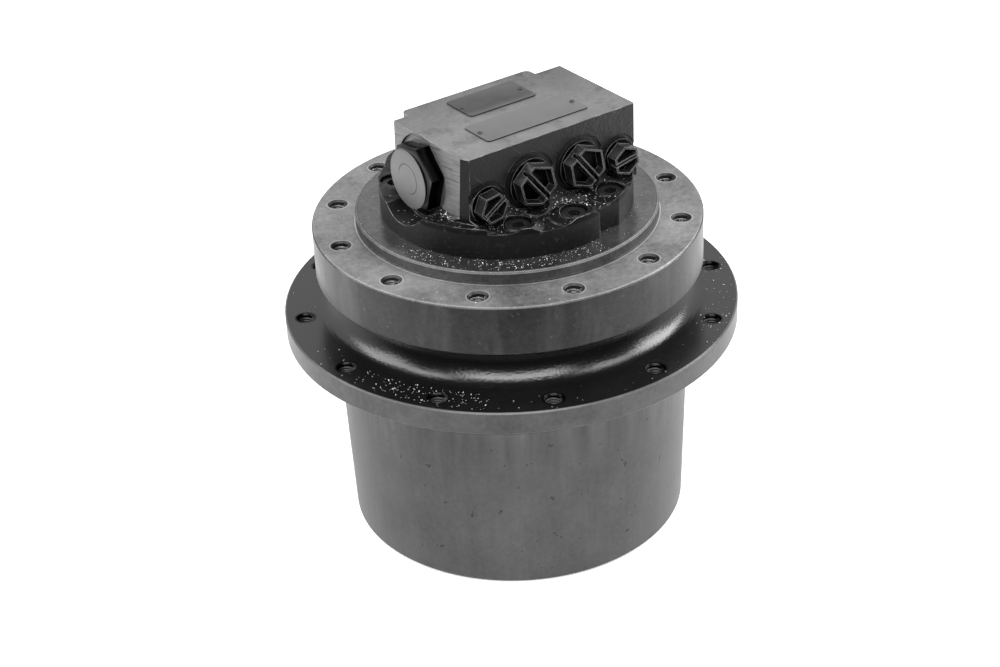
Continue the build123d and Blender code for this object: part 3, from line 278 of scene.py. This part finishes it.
# name, turn from the camera's own and rise in degrees, distance, width and height in metres, watts
for name, turn, rise, distance, width, height, watts in (
    ("front_box", 0, 51, 1.4, 1.3, 0.4, 18),
    ("left_fill", -68, 53, 1.4, 0.5, 0.4, 5),
    ("right_fill", 72, 52, 1.4, 0.5, 0.4, 5),
    ("left_box", -96, 37, 1.4, 0.8, 0.5, 8),
    ("right_box", 108, 34, 1.4, 0.8, 0.5, 14),
):
    lamp = bpy.data.lights.new(name, "AREA")
    lamp.shape = "RECTANGLE"
    lamp.size = width
    lamp.size_y = height
    lamp.energy = watts
    box = bpy.data.objects.new(name, lamp)
    bpy.context.collection.objects.link(box)
    heading = Matrix.Rotation(camera_turn + math.radians(turn), 4, "Z")
    lean = Matrix.Rotation(math.pi / 2 - math.radians(rise), 4, "X")
    away = heading @ Vector((0, -math.cos(math.radians(rise)), math.sin(math.radians(rise)))) * distance
    box.matrix_world = Matrix.Translation(away + lamp_aim) @ heading @ lean


# Hub housing
# One iron casting: drum, sprocket flange and bearing neck. It is turned all over and painted a thin
# satin black, glossy in the neck's hollow, with the flange's rim rubbed and hazy drips on the drum.
def dress(node, material):
    """Gives a solid of the frame its material."""
    for slot in frame["nodes"][node].material_slots:
        slot.material = material


sprocket_r = 0.1445
sprocket_top = 0.15
sprocket_low = 0.1343
sprocket_hole_r = 0.132
sprocket_mouth_r = 0.007
neck_r = 0.105
drum_haze_low = 0.07
drum_haze_high = 0.128
edge_wear = 0.0006
edge_round = 0.0008

hub_paint = Paint("hub_paint")
cloud = hub_paint.noise(11.0, 5.0)
patch = hub_paint.noise(38.0, 5.0, 0.65)
streak = hub_paint.grain(55.0, 55.0, 6.0)
drip = hub_paint.grain(150.0, 150.0, 12.0)
turning = hub_paint.grain(8.0, 8.0, 1500.0, 2.0)
peel = hub_paint.noise(650.0, 2.0)
on_drum = hub_paint.z.ramp(sprocket_low, sprocket_low - 0.0012)
on_rim = hub_paint.radius.ramp(sprocket_r - 0.0012, sprocket_r - 0.0004) * (1 - on_drum)
in_hollow = hub_paint.radius.ramp(neck_r + 0.019, neck_r + 0.013) * (1 - on_drum)
flare = hub_paint.radius.ramp(neck_r + 0.014, neck_r + 0.002) * (1 - on_drum)
high_drum = hub_paint.z.ramp(drum_haze_low, drum_haze_high) * on_drum
dust = hub_paint.noise(420.0, 3.0, 0.7).ramp(0.69, 0.76) * patch.ramp(0.5, 0.62)
speck = hub_paint.noise(300.0, 4.0, 0.7)
pit = hub_paint.noise(150.0, 2.0).ramp(0.68, 0.73) * on_drum
coat = (0.006 + on_drum * 0.026 + on_rim * 0.011) * (0.05 + cloud * 1.1 + patch * 0.75)
haze = (streak - 0.42).larger(0.0) * high_drum * 0.35 + (on_drum * 0.03 + on_rim * 0.09) * patch
drips = (drip - 0.5) * on_drum * (0.03 + high_drum * 0.05)
specks = (speck - 0.5) * (on_drum * 0.04 + on_rim * 0.07)
rubbed = hub_paint.edges(edge_wear) * (0.02 + 0.1 * patch) * (0.4 + on_rim * 0.6)
shade = coat + haze + drips + specks + rubbed + (dust - pit) * 0.05
rough = 0.25 + ((cloud - 0.5) * 0.12 + (patch - 0.5) * 0.1) * (1 - in_hollow)
rough = rough + (on_drum + on_rim) * 0.1 - in_hollow * 0.05
# the flare's bump leans the hollow's shading, for the bright run along the neck
profile = hub_paint.bump(flare, 0.0015, 1.0, hub_paint.rounded(edge_round))
relief = hub_paint.bump(peel * (1 + in_hollow * 3.0) + turning * 0.5 - pit * 2.0, 0.00004, 1.0, profile)
# the sprocket holes' mouths are made dark metal: painted shade inside the holes
hole_mouth_shade = hub_paint.from_hole(sprocket_hole_r, 12, 5.0).ramp(sprocket_mouth_r + 0.0004, sprocket_mouth_r - 0.0004)
hole_mouth_shade = hole_mouth_shade * (1 - on_drum)
dress("hub_housing", hub_paint.finish(Base_Color=hub_paint.grey(shade.larger(0.004)), Roughness=rough,
                                      Metallic=hole_mouth_shade * 0.9, Normal=relief))

# Frame hub
# A steel casting turned bright and left bare, under a film of oil that darkens it in patches. Its
# flange, pilot and holes have clean broken edges. Painted highlights run round the hole rims and along
# the pilot's edge and foot, and painted shade darkens the hole mouths.
frame_r = 0.1225
frame_top = 0.208
frame_low = 0.176
frame_hole_r = 0.109
frame_mouth_r = 0.0067
pilot_r = 0.095

steel_film = Paint("frame_steel_film")
cloud = steel_film.noise(16.0, 5.0, 0.6)
patch = steel_film.noise(60.0, 5.0, 0.65)
rings = steel_film.noise(1.0, 2.0, 0.5, steel_film.vector(steel_film.radius * 1800.0, steel_film.z * 1800.0, 0.0))
smear = steel_film.grain(45.0, 45.0, 7.0)
scuff = steel_film.noise(320.0, 5.0, 0.75)
on_side = steel_film.radius.ramp(frame_r - 0.0012, frame_r - 0.0003)
hole = steel_film.from_hole(frame_hole_r, 12, 15.0)
# painted shade darkens the hole mouths, and a thin ring at their rim is lightened as a painted highlight
hole_mouth_shade = hole.ramp(frame_mouth_r, frame_mouth_r - 0.0005) * (1 - on_side)
hole_rim_highlight = hole.near(frame_mouth_r + 0.0002, 0.0005) * steel_film.z.ramp(frame_top - 0.003, frame_top - 0.001)
on_pilot = steel_film.z.ramp(frame_top + 0.0005, frame_top + 0.001)
on_lip = steel_film.radius.ramp(pilot_r - 0.0024, pilot_r - 0.0016) * on_pilot
# a painted highlight: a bright line round the pilot's foot
pilot_foot_highlight = steel_film.radius.near(pilot_r + 0.0005, 0.0005) * steel_film.z.ramp(frame_top + 0.002, frame_top)
flecks = steel_film.noise(210.0, 4.0, 0.7).ramp(0.62, 0.7)
glints = steel_film.noise(500.0, 3.0, 0.7).ramp(0.7, 0.76)
film = 0.21 + (cloud - 0.5) * 0.34 + (patch - 0.5) * 0.2 + (rings - 0.5) * 0.04 + (scuff - 0.5) * 0.3
film = film * (1 - on_pilot * 0.5) * (1 - on_side * 0.85) + (smear - 0.5).larger(0.0) * on_side * 0.15
# on the pilot the rubbed edges are lightened further, as a painted highlight
rubbed = steel_film.edges(edge_wear) * (0.06 + 0.2 * patch) * (1 + on_pilot * 0.6)
shade = (film + rubbed + hole_rim_highlight * 0.22 + pilot_foot_highlight * 0.4) * (1 - hole_mouth_shade * 0.85)
shade = shade + flecks * on_side * 0.04 + glints * 0.12
rough = 0.46 - on_pilot * (0.24 - on_lip * 0.4) - on_side * 0.14 + (cloud - 0.5) * 0.25 + (patch - 0.5) * 0.2
metal = (0.75 - cloud * 0.3 + on_pilot * 0.25) * (1 - on_side * 0.2)
relief = steel_film.bump(rings + steel_film.noise(800.0, 2.0) * 0.6, 0.00003, 1.0, steel_film.rounded(edge_round))
dress("frame_hub", steel_film.finish(Base_Color=steel_film.grey(shade.larger(0.01)), Roughness=rough,
                                     Metallic=metal, Normal=relief))


# Threads
# The twelve holes in each flange are tapped M12 right through. The thread is one helical ridge on
# the hole's wall, from one countersink to the other.
thread_pitch = 0.00175
thread_wall_r = 0.00515
thread_crest_r = 0.00455

thread_steel = Paint("thread_steel")
wear = thread_steel.noise(300.0, 3.0)
thread_shade = 0.05 + (wear - 0.5) * 0.05 + thread_steel.edges(0.0003) * 0.15
bare_thread = thread_steel.finish(Base_Color=thread_steel.grey(thread_shade), Metallic=0.7, Roughness=0.3 + wear * 0.2)
thread_coat = Paint("thread_coat")
wear = thread_coat.noise(300.0, 3.0)
painted_thread = thread_coat.finish(Base_Color=thread_coat.grey(0.006 + wear * 0.008), Roughness=0.4 + wear * 0.2)


def threads(name, body, circle, turn, low, high, metal):
    """Models one thread in a hole and copies it round the bolt circle."""
    turns = round((high - low) / thread_pitch) - 1
    bpy.ops.mesh.primitive_plane_add(size=thread_pitch, location=(0, 0, 0))
    thread = bpy.context.object
    thread.name = name
    bpy.ops.object.mode_set(mode="EDIT")
    bpy.ops.mesh.delete(type="ONLY_FACE")
    bpy.ops.object.mode_set(mode="OBJECT")
    # the ridge's section: a vertex of the plane, its radius, and its height in shares of the pitch
    section = ((0, thread_wall_r, 0), (1, thread_wall_r, 0.96), (3, thread_crest_r, 0.56), (2, thread_crest_r, 0.40))
    for index, radius, share in section:
        thread.data.vertices[index].co = (radius, 0, share * thread_pitch)
    winding = thread.modifiers.new("winding", "SCREW")
    winding.axis = "Z"
    winding.screw_offset = thread_pitch
    winding.iterations = turns
    winding.steps = 28
    winding.render_steps = 28
    winding.use_smooth_shade = False
    bpy.ops.object.modifier_apply(modifier=winding.name)
    bpy.ops.object.mode_set(mode="EDIT")
    bpy.ops.mesh.select_all(action="DESELECT")
    bpy.ops.mesh.select_non_manifold()
    bpy.ops.mesh.edge_face_add()
    bpy.ops.mesh.select_all(action="SELECT")
    bpy.ops.mesh.normals_make_consistent(inside=False)
    bpy.ops.object.mode_set(mode="OBJECT")
    one = thread.data.copy()
    bpy.data.objects.remove(thread)
    made = []
    for index in range(12):
        angle = math.radians(turn + 30 * index)
        mesh = one.copy()
        mesh.transform(Matrix.Translation((circle * math.cos(angle), circle * math.sin(angle), low)))
        copy = bpy.data.objects.new(f"{name}_{index + 1}", mesh)
        bpy.context.collection.objects.link(copy)
        made.append(copy)
    for copy in made:
        copy.select_set(True)
    bpy.context.view_layer.objects.active = made[0]
    bpy.ops.object.join()
    joined = bpy.context.object
    joined.name = name
    joined.data.materials.append(metal)
    joined.select_set(False)
    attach(joined, body)


threads("sprocket_hole_threads", "hub", sprocket_hole_r, 5.0, sprocket_low + 0.0006,
        sprocket_top - 0.0016, painted_thread)
threads("frame_hole_threads", "frame_side", frame_hole_r, 15.0, frame_low + 0.0006,
        frame_top - 0.0016, bare_thread)

# Valve housing
# The motor's end casting. Its round base and its front keep the black cast skin. The block's top is
# ground, and its ends are milled with a coarse slanting lay.
base_top = 0.2365
foot_z = 0.232
valve_top = 0.278
valve_paint = Paint("valve_paint")
cloud = valve_paint.noise(22.0, 5.0, 0.6)
patch = valve_paint.noise(75.0, 5.0, 0.65)
cast = valve_paint.noise(420.0, 3.0, 0.6)
coarse = valve_paint.noise(230.0, 3.0, 0.7)
slant = valve_paint.vector(
    (valve_paint.z + valve_paint.y * 0.15) * 520.0,
    (valve_paint.y - valve_paint.z * 0.15) * 26.0,
    valve_paint.x * 26.0,
)
milling = valve_paint.noise(1.0, 3.0, 0.6, slant)
gouge = milling.ramp(0.57, 0.66)
scrape = valve_paint.vector(
    (valve_paint.x * 0.7 + valve_paint.z * 0.7) * 800.0,
    (valve_paint.x * 0.7 - valve_paint.z * 0.7) * 40.0,
    valve_paint.y * 40.0,
)
scratch = valve_paint.noise(1.0, 3.0, 0.6, scrape).ramp(0.6, 0.7)
fine = valve_paint.noise(1.0, 2.0, 0.5, valve_paint.vector(valve_paint.x * 60.0, valve_paint.y * 1400.0, 0.0))
in_block = valve_paint.z.ramp(base_top, base_top + 0.0006)
top = valve_paint.nz.ramp(0.9, 0.97) * valve_paint.z.ramp(valve_top - 0.002, valve_top - 0.001)
ends = valve_paint.nx.math("ABSOLUTE").ramp(0.94, 0.985) * in_block
front = (-valve_paint.ny).ramp(0.9, 0.97) * in_block
corner_rough = front * valve_paint.x.ramp(-0.02, 0.035) * valve_paint.z.ramp(0.25, 0.264)
skin = (1 - top) * (1 - ends)
foot = valve_paint.z.ramp(foot_z - 0.0005, foot_z + 0.0005) * (1 - in_block)
grime = valve_paint.noise(330.0, 4.0, 0.75).ramp(0.55, 0.72)
stain = valve_paint.noise(48.0, 6.0, 0.7).ramp(0.53, 0.63)
top_tone = 0.12 - stain * 0.04 - (grime - 0.3) * 0.03 + (cast - 0.5) * 0.06
# painted shade: the ground top is darkened towards the back and towards the right
top_tone = top_tone - valve_paint.y.ramp(-0.03, 0.05) * 0.045 - valve_paint.x.ramp(0.0, 0.07) * 0.025
end_tone = 0.2 + (milling - 0.5) * 0.3 - gouge * 0.14
front_tone = 0.004 + corner_rough * 0.014 + scratch * 0.025
shade = (0.004 + top * top_tone + ends * end_tone + front * front_tone) * (cloud * 1.2 + patch * 0.75)
rubbed = valve_paint.edges(edge_wear) * (0.03 + 0.3 * patch.ramp(0.45, 0.65))
caked = grime * (skin * (1 - in_block) + foot) * 0.03
shade = shade + (fine - 0.5) * top * 0.04 + rubbed + caked
rough = 0.4 - top * 0.04 + (cloud - 0.5) * 0.25 + (patch - 0.5) * 0.2 + corner_rough * 0.1 + foot * 0.12
height = cast * skin * (0.8 + corner_rough * 2.4) + coarse * corner_rough * 3.0
height = height + milling * ends * 1.4 + fine * top * 0.14
relief = valve_paint.bump(height, 0.00022, 1.0, valve_paint.rounded(0.0009))
dress("valve_housing", valve_paint.finish(Base_Color=valve_paint.grey(shade.larger(0.005)), Roughness=rough,
                                          Metallic=ends * 0.5 + top * 0.15 + (skin + foot) * 0.3,
                                          Normal=relief))


# Motor screws
# Eight M10 socket screws, blackened, sunk in the base's counterbores.
weld_reach = 0.000002
fine_edge_wear = 0.0004


def eased(node, width, sharp=30):
    """Copies a solid of the frame, merges it, and breaks its edges with a small round."""
    source = frame["nodes"][node]
    piece = bpy.data.objects.new(node + "_finished", source.data.copy())
    bpy.context.collection.objects.link(piece)
    bpy.context.view_layer.objects.active = piece
    piece.select_set(True)
    bpy.ops.mesh.customdata_custom_splitnormals_clear()
    bpy.ops.object.mode_set(mode="EDIT")
    bpy.ops.mesh.select_all(action="SELECT")
    bpy.ops.mesh.remove_doubles(threshold=weld_reach)
    bpy.ops.mesh.dissolve_limited(angle_limit=math.radians(0.5))
    bpy.ops.object.mode_set(mode="OBJECT")
    edges = piece.modifiers.new("edges", "BEVEL")
    edges.width = width
    edges.segments = 2
    edges.limit_method = "ANGLE"
    edges.angle_limit = math.radians(sharp)
    edges.harden_normals = False
    bpy.ops.object.modifier_apply(modifier=edges.name)
    bpy.ops.object.shade_smooth_by_angle(angle=math.radians(sharp))
    piece.select_set(False)
    piece.data.materials.clear()
    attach(piece, next(body for body, nodes in record["behaviour"]["bodies"].items() if node in nodes))
    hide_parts(node)
    return piece


oxide = Paint("black_oxide")
wear = oxide.noise(260.0, 4.0)
shade = 0.012 + (wear - 0.5) * 0.012 + oxide.edges(fine_edge_wear) * (0.03 + wear * 0.12)
screw_metal = oxide.finish(Base_Color=oxide.grey(shade.larger(0.005)), Roughness=0.32 + wear * 0.25,
                           Metallic=0.4, Normal=oxide.bump(oxide.noise(900.0), 0.00003))
dress("motor_screws", screw_metal)

# Port caps
# Four moulded plugs of black nylon: a round flange, a hollow hex, and a slotted bar across it. The
# floor inside the hex is made metallic over the dark nylon, a painted shade that keeps it near black.
cap_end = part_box("main_port_plugs")[0][1]
nylon = Paint("cap_nylon")
haze = nylon.noise(120.0, 4.0)
shade = 0.005 + (haze - 0.5) * 0.006 + nylon.edges(edge_wear) * (0.06 + haze * 0.3)
# painted shade: the deep floor inside each hex is made metallic, which darkens it
sunk_floor_shade = (-nylon.ny).ramp(0.9, 0.97) * nylon.y.ramp(cap_end + 0.003, cap_end + 0.004)
cap_plastic = nylon.finish(Base_Color=nylon.grey(shade.larger(0.004)), Roughness=0.2 + haze * 0.18, Metallic=sunk_floor_shade,
                           Normal=nylon.bump(nylon.noise(700.0), 0.00003))
for node in ("main_port_plugs", "small_port_plugs"):
    eased(node, 0.00035).data.materials.append(cap_plastic)

# Spool end plugs
# Two big hex plugs of turned steel, one in each end of the block. The face is bare, with a shallow
# ring left by its centre. The flats are dark and made fully metallic, a painted shade.
plug_steel = Paint("plug_steel")
cloud = plug_steel.noise(60.0, 5.0, 0.6)
spool_z = 0.253
ring_mark_r = 0.0095
from_axis = (plug_steel.y * plug_steel.y + (plug_steel.z - spool_z) * (plug_steel.z - spool_z)).power(0.5)
lathe = plug_steel.noise(1.0, 2.0, 0.5, plug_steel.vector(from_axis * 2200.0, 0.0, 0.0))
on_face = plug_steel.nx.math("ABSOLUTE").ramp(0.93, 0.99)
ring_mark = from_axis.near(ring_mark_r, 0.0006) * (plug_steel.z - plug_steel.y).ramp(0.238, 0.252)
# off the face the flats stay near black and fully metallic: painted shade
shade = 0.004 + on_face * (0.2 + (cloud - 0.5) * 0.1 + (lathe - 0.5) * 0.03) - ring_mark * 0.12
shade = shade + plug_steel.edges(fine_edge_wear) * 0.03
relief = plug_steel.bump(lathe * 0.3 - ring_mark * 3.0, 0.00008)
eased("spool_end_plugs", 0.0004).data.materials.append(
    plug_steel.finish(Base_Color=plug_steel.grey(shade.larger(0.004)), Roughness=0.22 + cloud * 0.1 + on_face * 0.2,
                      Metallic=1 - on_face * 0.4, Normal=relief)
)

# Name plates
# Two thin aluminium plates, dark and bare, the back one darkened by painted shade. Two drive rivets
# hold each on the block's top.
plate_alloy = Paint("plate_alloy")
cloud = plate_alloy.noise(90.0, 5.0, 0.6)
brushed = plate_alloy.grain(90.0, 2600.0, 0.0)
flat = plate_alloy.nz.ramp(0.8, 0.97)
# painted shade: the back plate is darker than the front one
back_plate_shade = plate_alloy.y.ramp(-0.005, 0.01)
shade = 0.01 + flat * (0.1 - back_plate_shade * 0.07 + (cloud - 0.5) * 0.05 + (brushed - 0.5) * 0.03)
eased("name_plates", 0.0002).data.materials.append(
    plate_alloy.finish(Base_Color=plate_alloy.grey(shade.larger(0.01)), Roughness=0.32 + cloud * 0.2,
                       Metallic=flat * 0.3, Normal=plate_alloy.bump(brushed, 0.00002))
)
rivet_paint = Paint("rivet_steel")
spots = rivet_paint.noise(700.0, 3.0)
dress("plate_rivets", rivet_paint.finish(Base_Color=rivet_paint.grey(0.01 + spots * 0.02), Metallic=0.2,
                                         Roughness=0.3 + spots * 0.3))

# Underside and inner pieces
# The end cover, its ring and plugs close the drum from below. The gears, bearings, seals, brake and
# motor inside are ground steel, bronze, rubber and lining.
# slot: base shade and warmth, spread of the shade, metallic, roughness, grain scale
slot_finishes = {
    "hub_casting": (0.03, 0.0, 0.02, 0.0, 0.45, 300.0),
    "gear_steel": (0.32, 0.02, 0.1, 0.95, 0.28, 900.0),
    "bearing_steel": (0.5, 0.0, 0.08, 1.0, 0.16, 1200.0),
    "machined_steel": (0.38, 0.01, 0.12, 0.95, 0.32, 700.0),
    "spring_steel": (0.12, 0.02, 0.06, 0.9, 0.3, 900.0),
    "black_oxide": (0.03, 0.0, 0.03, 0.4, 0.36, 600.0),
    "seal_rubber": (0.018, 0.0, 0.01, 0.0, 0.55, 800.0),
    "bronze": (0.3, 0.38, 0.1, 0.9, 0.34, 600.0),
    "friction_lining": (0.09, 0.25, 0.05, 0.0, 0.8, 500.0),
}
slot_materials = {}
for slot, (tone, warmth, spread, metallic, roughness, scale) in slot_finishes.items():
    inner = Paint(slot + "_finish")
    grain = inner.noise(scale, 3.0)
    cloud = inner.noise(scale / 12, 4.0)
    shade = tone + (grain - 0.5) * spread + (cloud - 0.5) * spread
    slot_materials[slot] = inner.finish(
        Base_Color=inner.grey(shade.larger(0.003), warmth), Metallic=metallic,
        Roughness=roughness + (cloud - 0.5) * 0.15, Normal=inner.bump(grain, 0.00003),
    )
outer_nodes = ("hub_housing", "frame_hub", "valve_housing", "motor_screws", "main_port_plugs", "small_port_plugs",
               "spool_end_plugs", "name_plates", "plate_rivets")
for part in record["subparts"]:
    if part["node"] not in outer_nodes:
        dress(part["node"], slot_materials[part["material_slot"]])


# Springs
# A disc spring holds the brake on, and a coil spring at each end centres the spool. One end of each
# rests in the casting; the copies stand fixed where they are modelled.
def spring(node, name, x_low=-1.0, x_high=1.0):
    """Copies the part of a spring node between two x values, in place, and hides the node."""
    piece = bpy.data.objects.new(name, frame["nodes"][node].data.copy())
    bpy.context.collection.objects.link(piece)
    bpy.context.view_layer.objects.active = piece
    piece.select_set(True)
    bpy.ops.object.mode_set(mode="EDIT")
    bpy.ops.mesh.select_all(action="DESELECT")
    bpy.ops.object.mode_set(mode="OBJECT")
    for vertex in piece.data.vertices:
        vertex.select = not x_low < vertex.co.x < x_high
    bpy.ops.object.mode_set(mode="EDIT")
    bpy.ops.mesh.delete(type="VERT")
    bpy.ops.mesh.select_all(action="SELECT")
    bpy.ops.mesh.remove_doubles(threshold=weld_reach)
    bpy.ops.object.mode_set(mode="OBJECT")
    piece.select_set(False)
    piece.data.materials.clear()
    piece.data.materials.append(slot_materials["spring_steel"])
    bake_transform(piece)
    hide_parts(node)


spring("brake_spring", "brake_disc_spring")
coil_ends = [corner.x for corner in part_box("spool_springs")]
coil_middle = sum(coil_ends) / 2
spring("spool_springs", "left_spool_spring", x_high=coil_middle)
spring("spool_springs", "right_spool_spring", x_low=coil_middle)

# Swarf
# Bright curled chips left from machining the holes, caught on the oily base, pilot and flanges. They
# fall from drop_z, and none stays on a steep face or higher than highest_z.
random.seed(7)
chip_metal = Paint("swarf")
glint = chip_metal.noise(400.0, 2.0)
chip_bright = chip_metal.finish(Base_Color=chip_metal.grey(0.55 + glint * 0.3), Metallic=0.5,
                                Roughness=0.3 + glint * 0.2)
drop_z = 0.3
highest_z = 0.24
steepest = 0.5


def chip_shape(length, curl):
    """A small curled flake, modelled once."""
    bpy.ops.mesh.primitive_grid_add(x_subdivisions=4, y_subdivisions=1, size=1.0, location=(0, 0, 0))
    flake = bpy.context.object
    bpy.ops.object.mode_set(mode="EDIT")
    bpy.ops.transform.resize(value=(length, length * 0.32, 1.0))
    bpy.ops.mesh.extrude_region_move(TRANSFORM_OT_translate={"value": (0, 0, 0.06)})
    bpy.ops.object.mode_set(mode="OBJECT")
    for vertex in flake.data.vertices:
        vertex.co.z += curl * (vertex.co.x ** 2)
        vertex.co.y += 0.25 * vertex.co.x ** 2
    bpy.ops.object.mode_set(mode="EDIT")
    bpy.ops.mesh.select_all(action="SELECT")
    bpy.ops.mesh.normals_make_consistent(inside=False)
    bpy.ops.object.mode_set(mode="OBJECT")
    shape = flake.data.copy()
    bpy.data.objects.remove(flake)
    return shape


chip_shapes = [chip_shape(1.0, 0.5), chip_shape(0.8, -0.3), chip_shape(1.3, 0.9)]


def scatter(name, body, carriers, spots):
    """Lets chips fall on the carriers. A spot is two radii, two angles in degrees, two sizes and a count."""
    trees = [BVHTree.FromObject(frame["nodes"][c], bpy.context.evaluated_depsgraph_get()) for c in carriers]
    made = []
    for low_r, high_r, low_turn, high_turn, low_size, high_size, count in spots:
        for _ in range(count):
            radius = random.uniform(low_r, high_r)
            angle = math.radians(random.uniform(low_turn, high_turn))
            start = Vector((radius * math.cos(angle), radius * math.sin(angle), drop_z))
            hits = [hit for hit in (tree.ray_cast(start, Vector((0, 0, -1))) for tree in trees) if hit[0]]
            size = random.uniform(low_size, high_size)
            turn = random.uniform(0, 2 * math.pi)
            shape = random.choice(chip_shapes)
            if not hits:
                continue
            point, normal, _, _ = max(hits, key=lambda hit: hit[0].z)
            if normal.z < steepest or point.z > highest_z:
                continue
            mesh = shape.copy()
            lie = normal.to_track_quat("Z", "Y").to_matrix().to_4x4()
            mesh.transform(Matrix.Translation(point + normal * size * 0.1) @ lie @ Matrix.Rotation(turn, 4, "Z")
                           @ Matrix.Scale(size, 4))
            chip = bpy.data.objects.new(name, mesh)
            bpy.context.collection.objects.link(chip)
            made.append(chip)
    for chip in made:
        chip.select_set(True)
    bpy.context.view_layer.objects.active = made[0]
    bpy.ops.object.join()
    joined = bpy.context.object
    joined.name = name
    joined.data.materials.append(chip_bright)
    joined.select_set(False)
    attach(joined, body)


# degrees round to the left front, where most of the chips lie
chip_side = -124.0
scatter("frame_swarf", "frame_side", ("frame_hub", "valve_housing"), (
    (0.030, 0.078, -180, 0, 0.0002, 0.0008, 900),
    (0.050, 0.078, 0, 180, 0.0003, 0.0009, 120),
    (0.058, 0.074, -172, -150, 0.0003, 0.0012, 90),
    (0.050, 0.076, -140, -112, 0.0003, 0.0012, 90),
    (0.045, 0.076, -95, -50, 0.0003, 0.0014, 130),
    (0.079, 0.094, -180, 180, 0.0002, 0.0007, 170),
    (0.098, 0.121, -180, 180, 0.0002, 0.0006, 90),
    (0.079, 0.092, chip_side - 45, chip_side + 40, 0.00025, 0.001, 280),
    (0.098, 0.121, chip_side - 30, chip_side + 30, 0.0002, 0.0008, 50),
))
scatter("hub_swarf", "hub", ("hub_housing",), (
    (0.1235, 0.143, -180, 180, 0.0003, 0.0008, 130),
    (0.1235, 0.141, chip_side - 45, chip_side - 8, 0.0003, 0.0012, 120),
    (0.1235, 0.143, -60, -20, 0.0003, 0.001, 60),
))
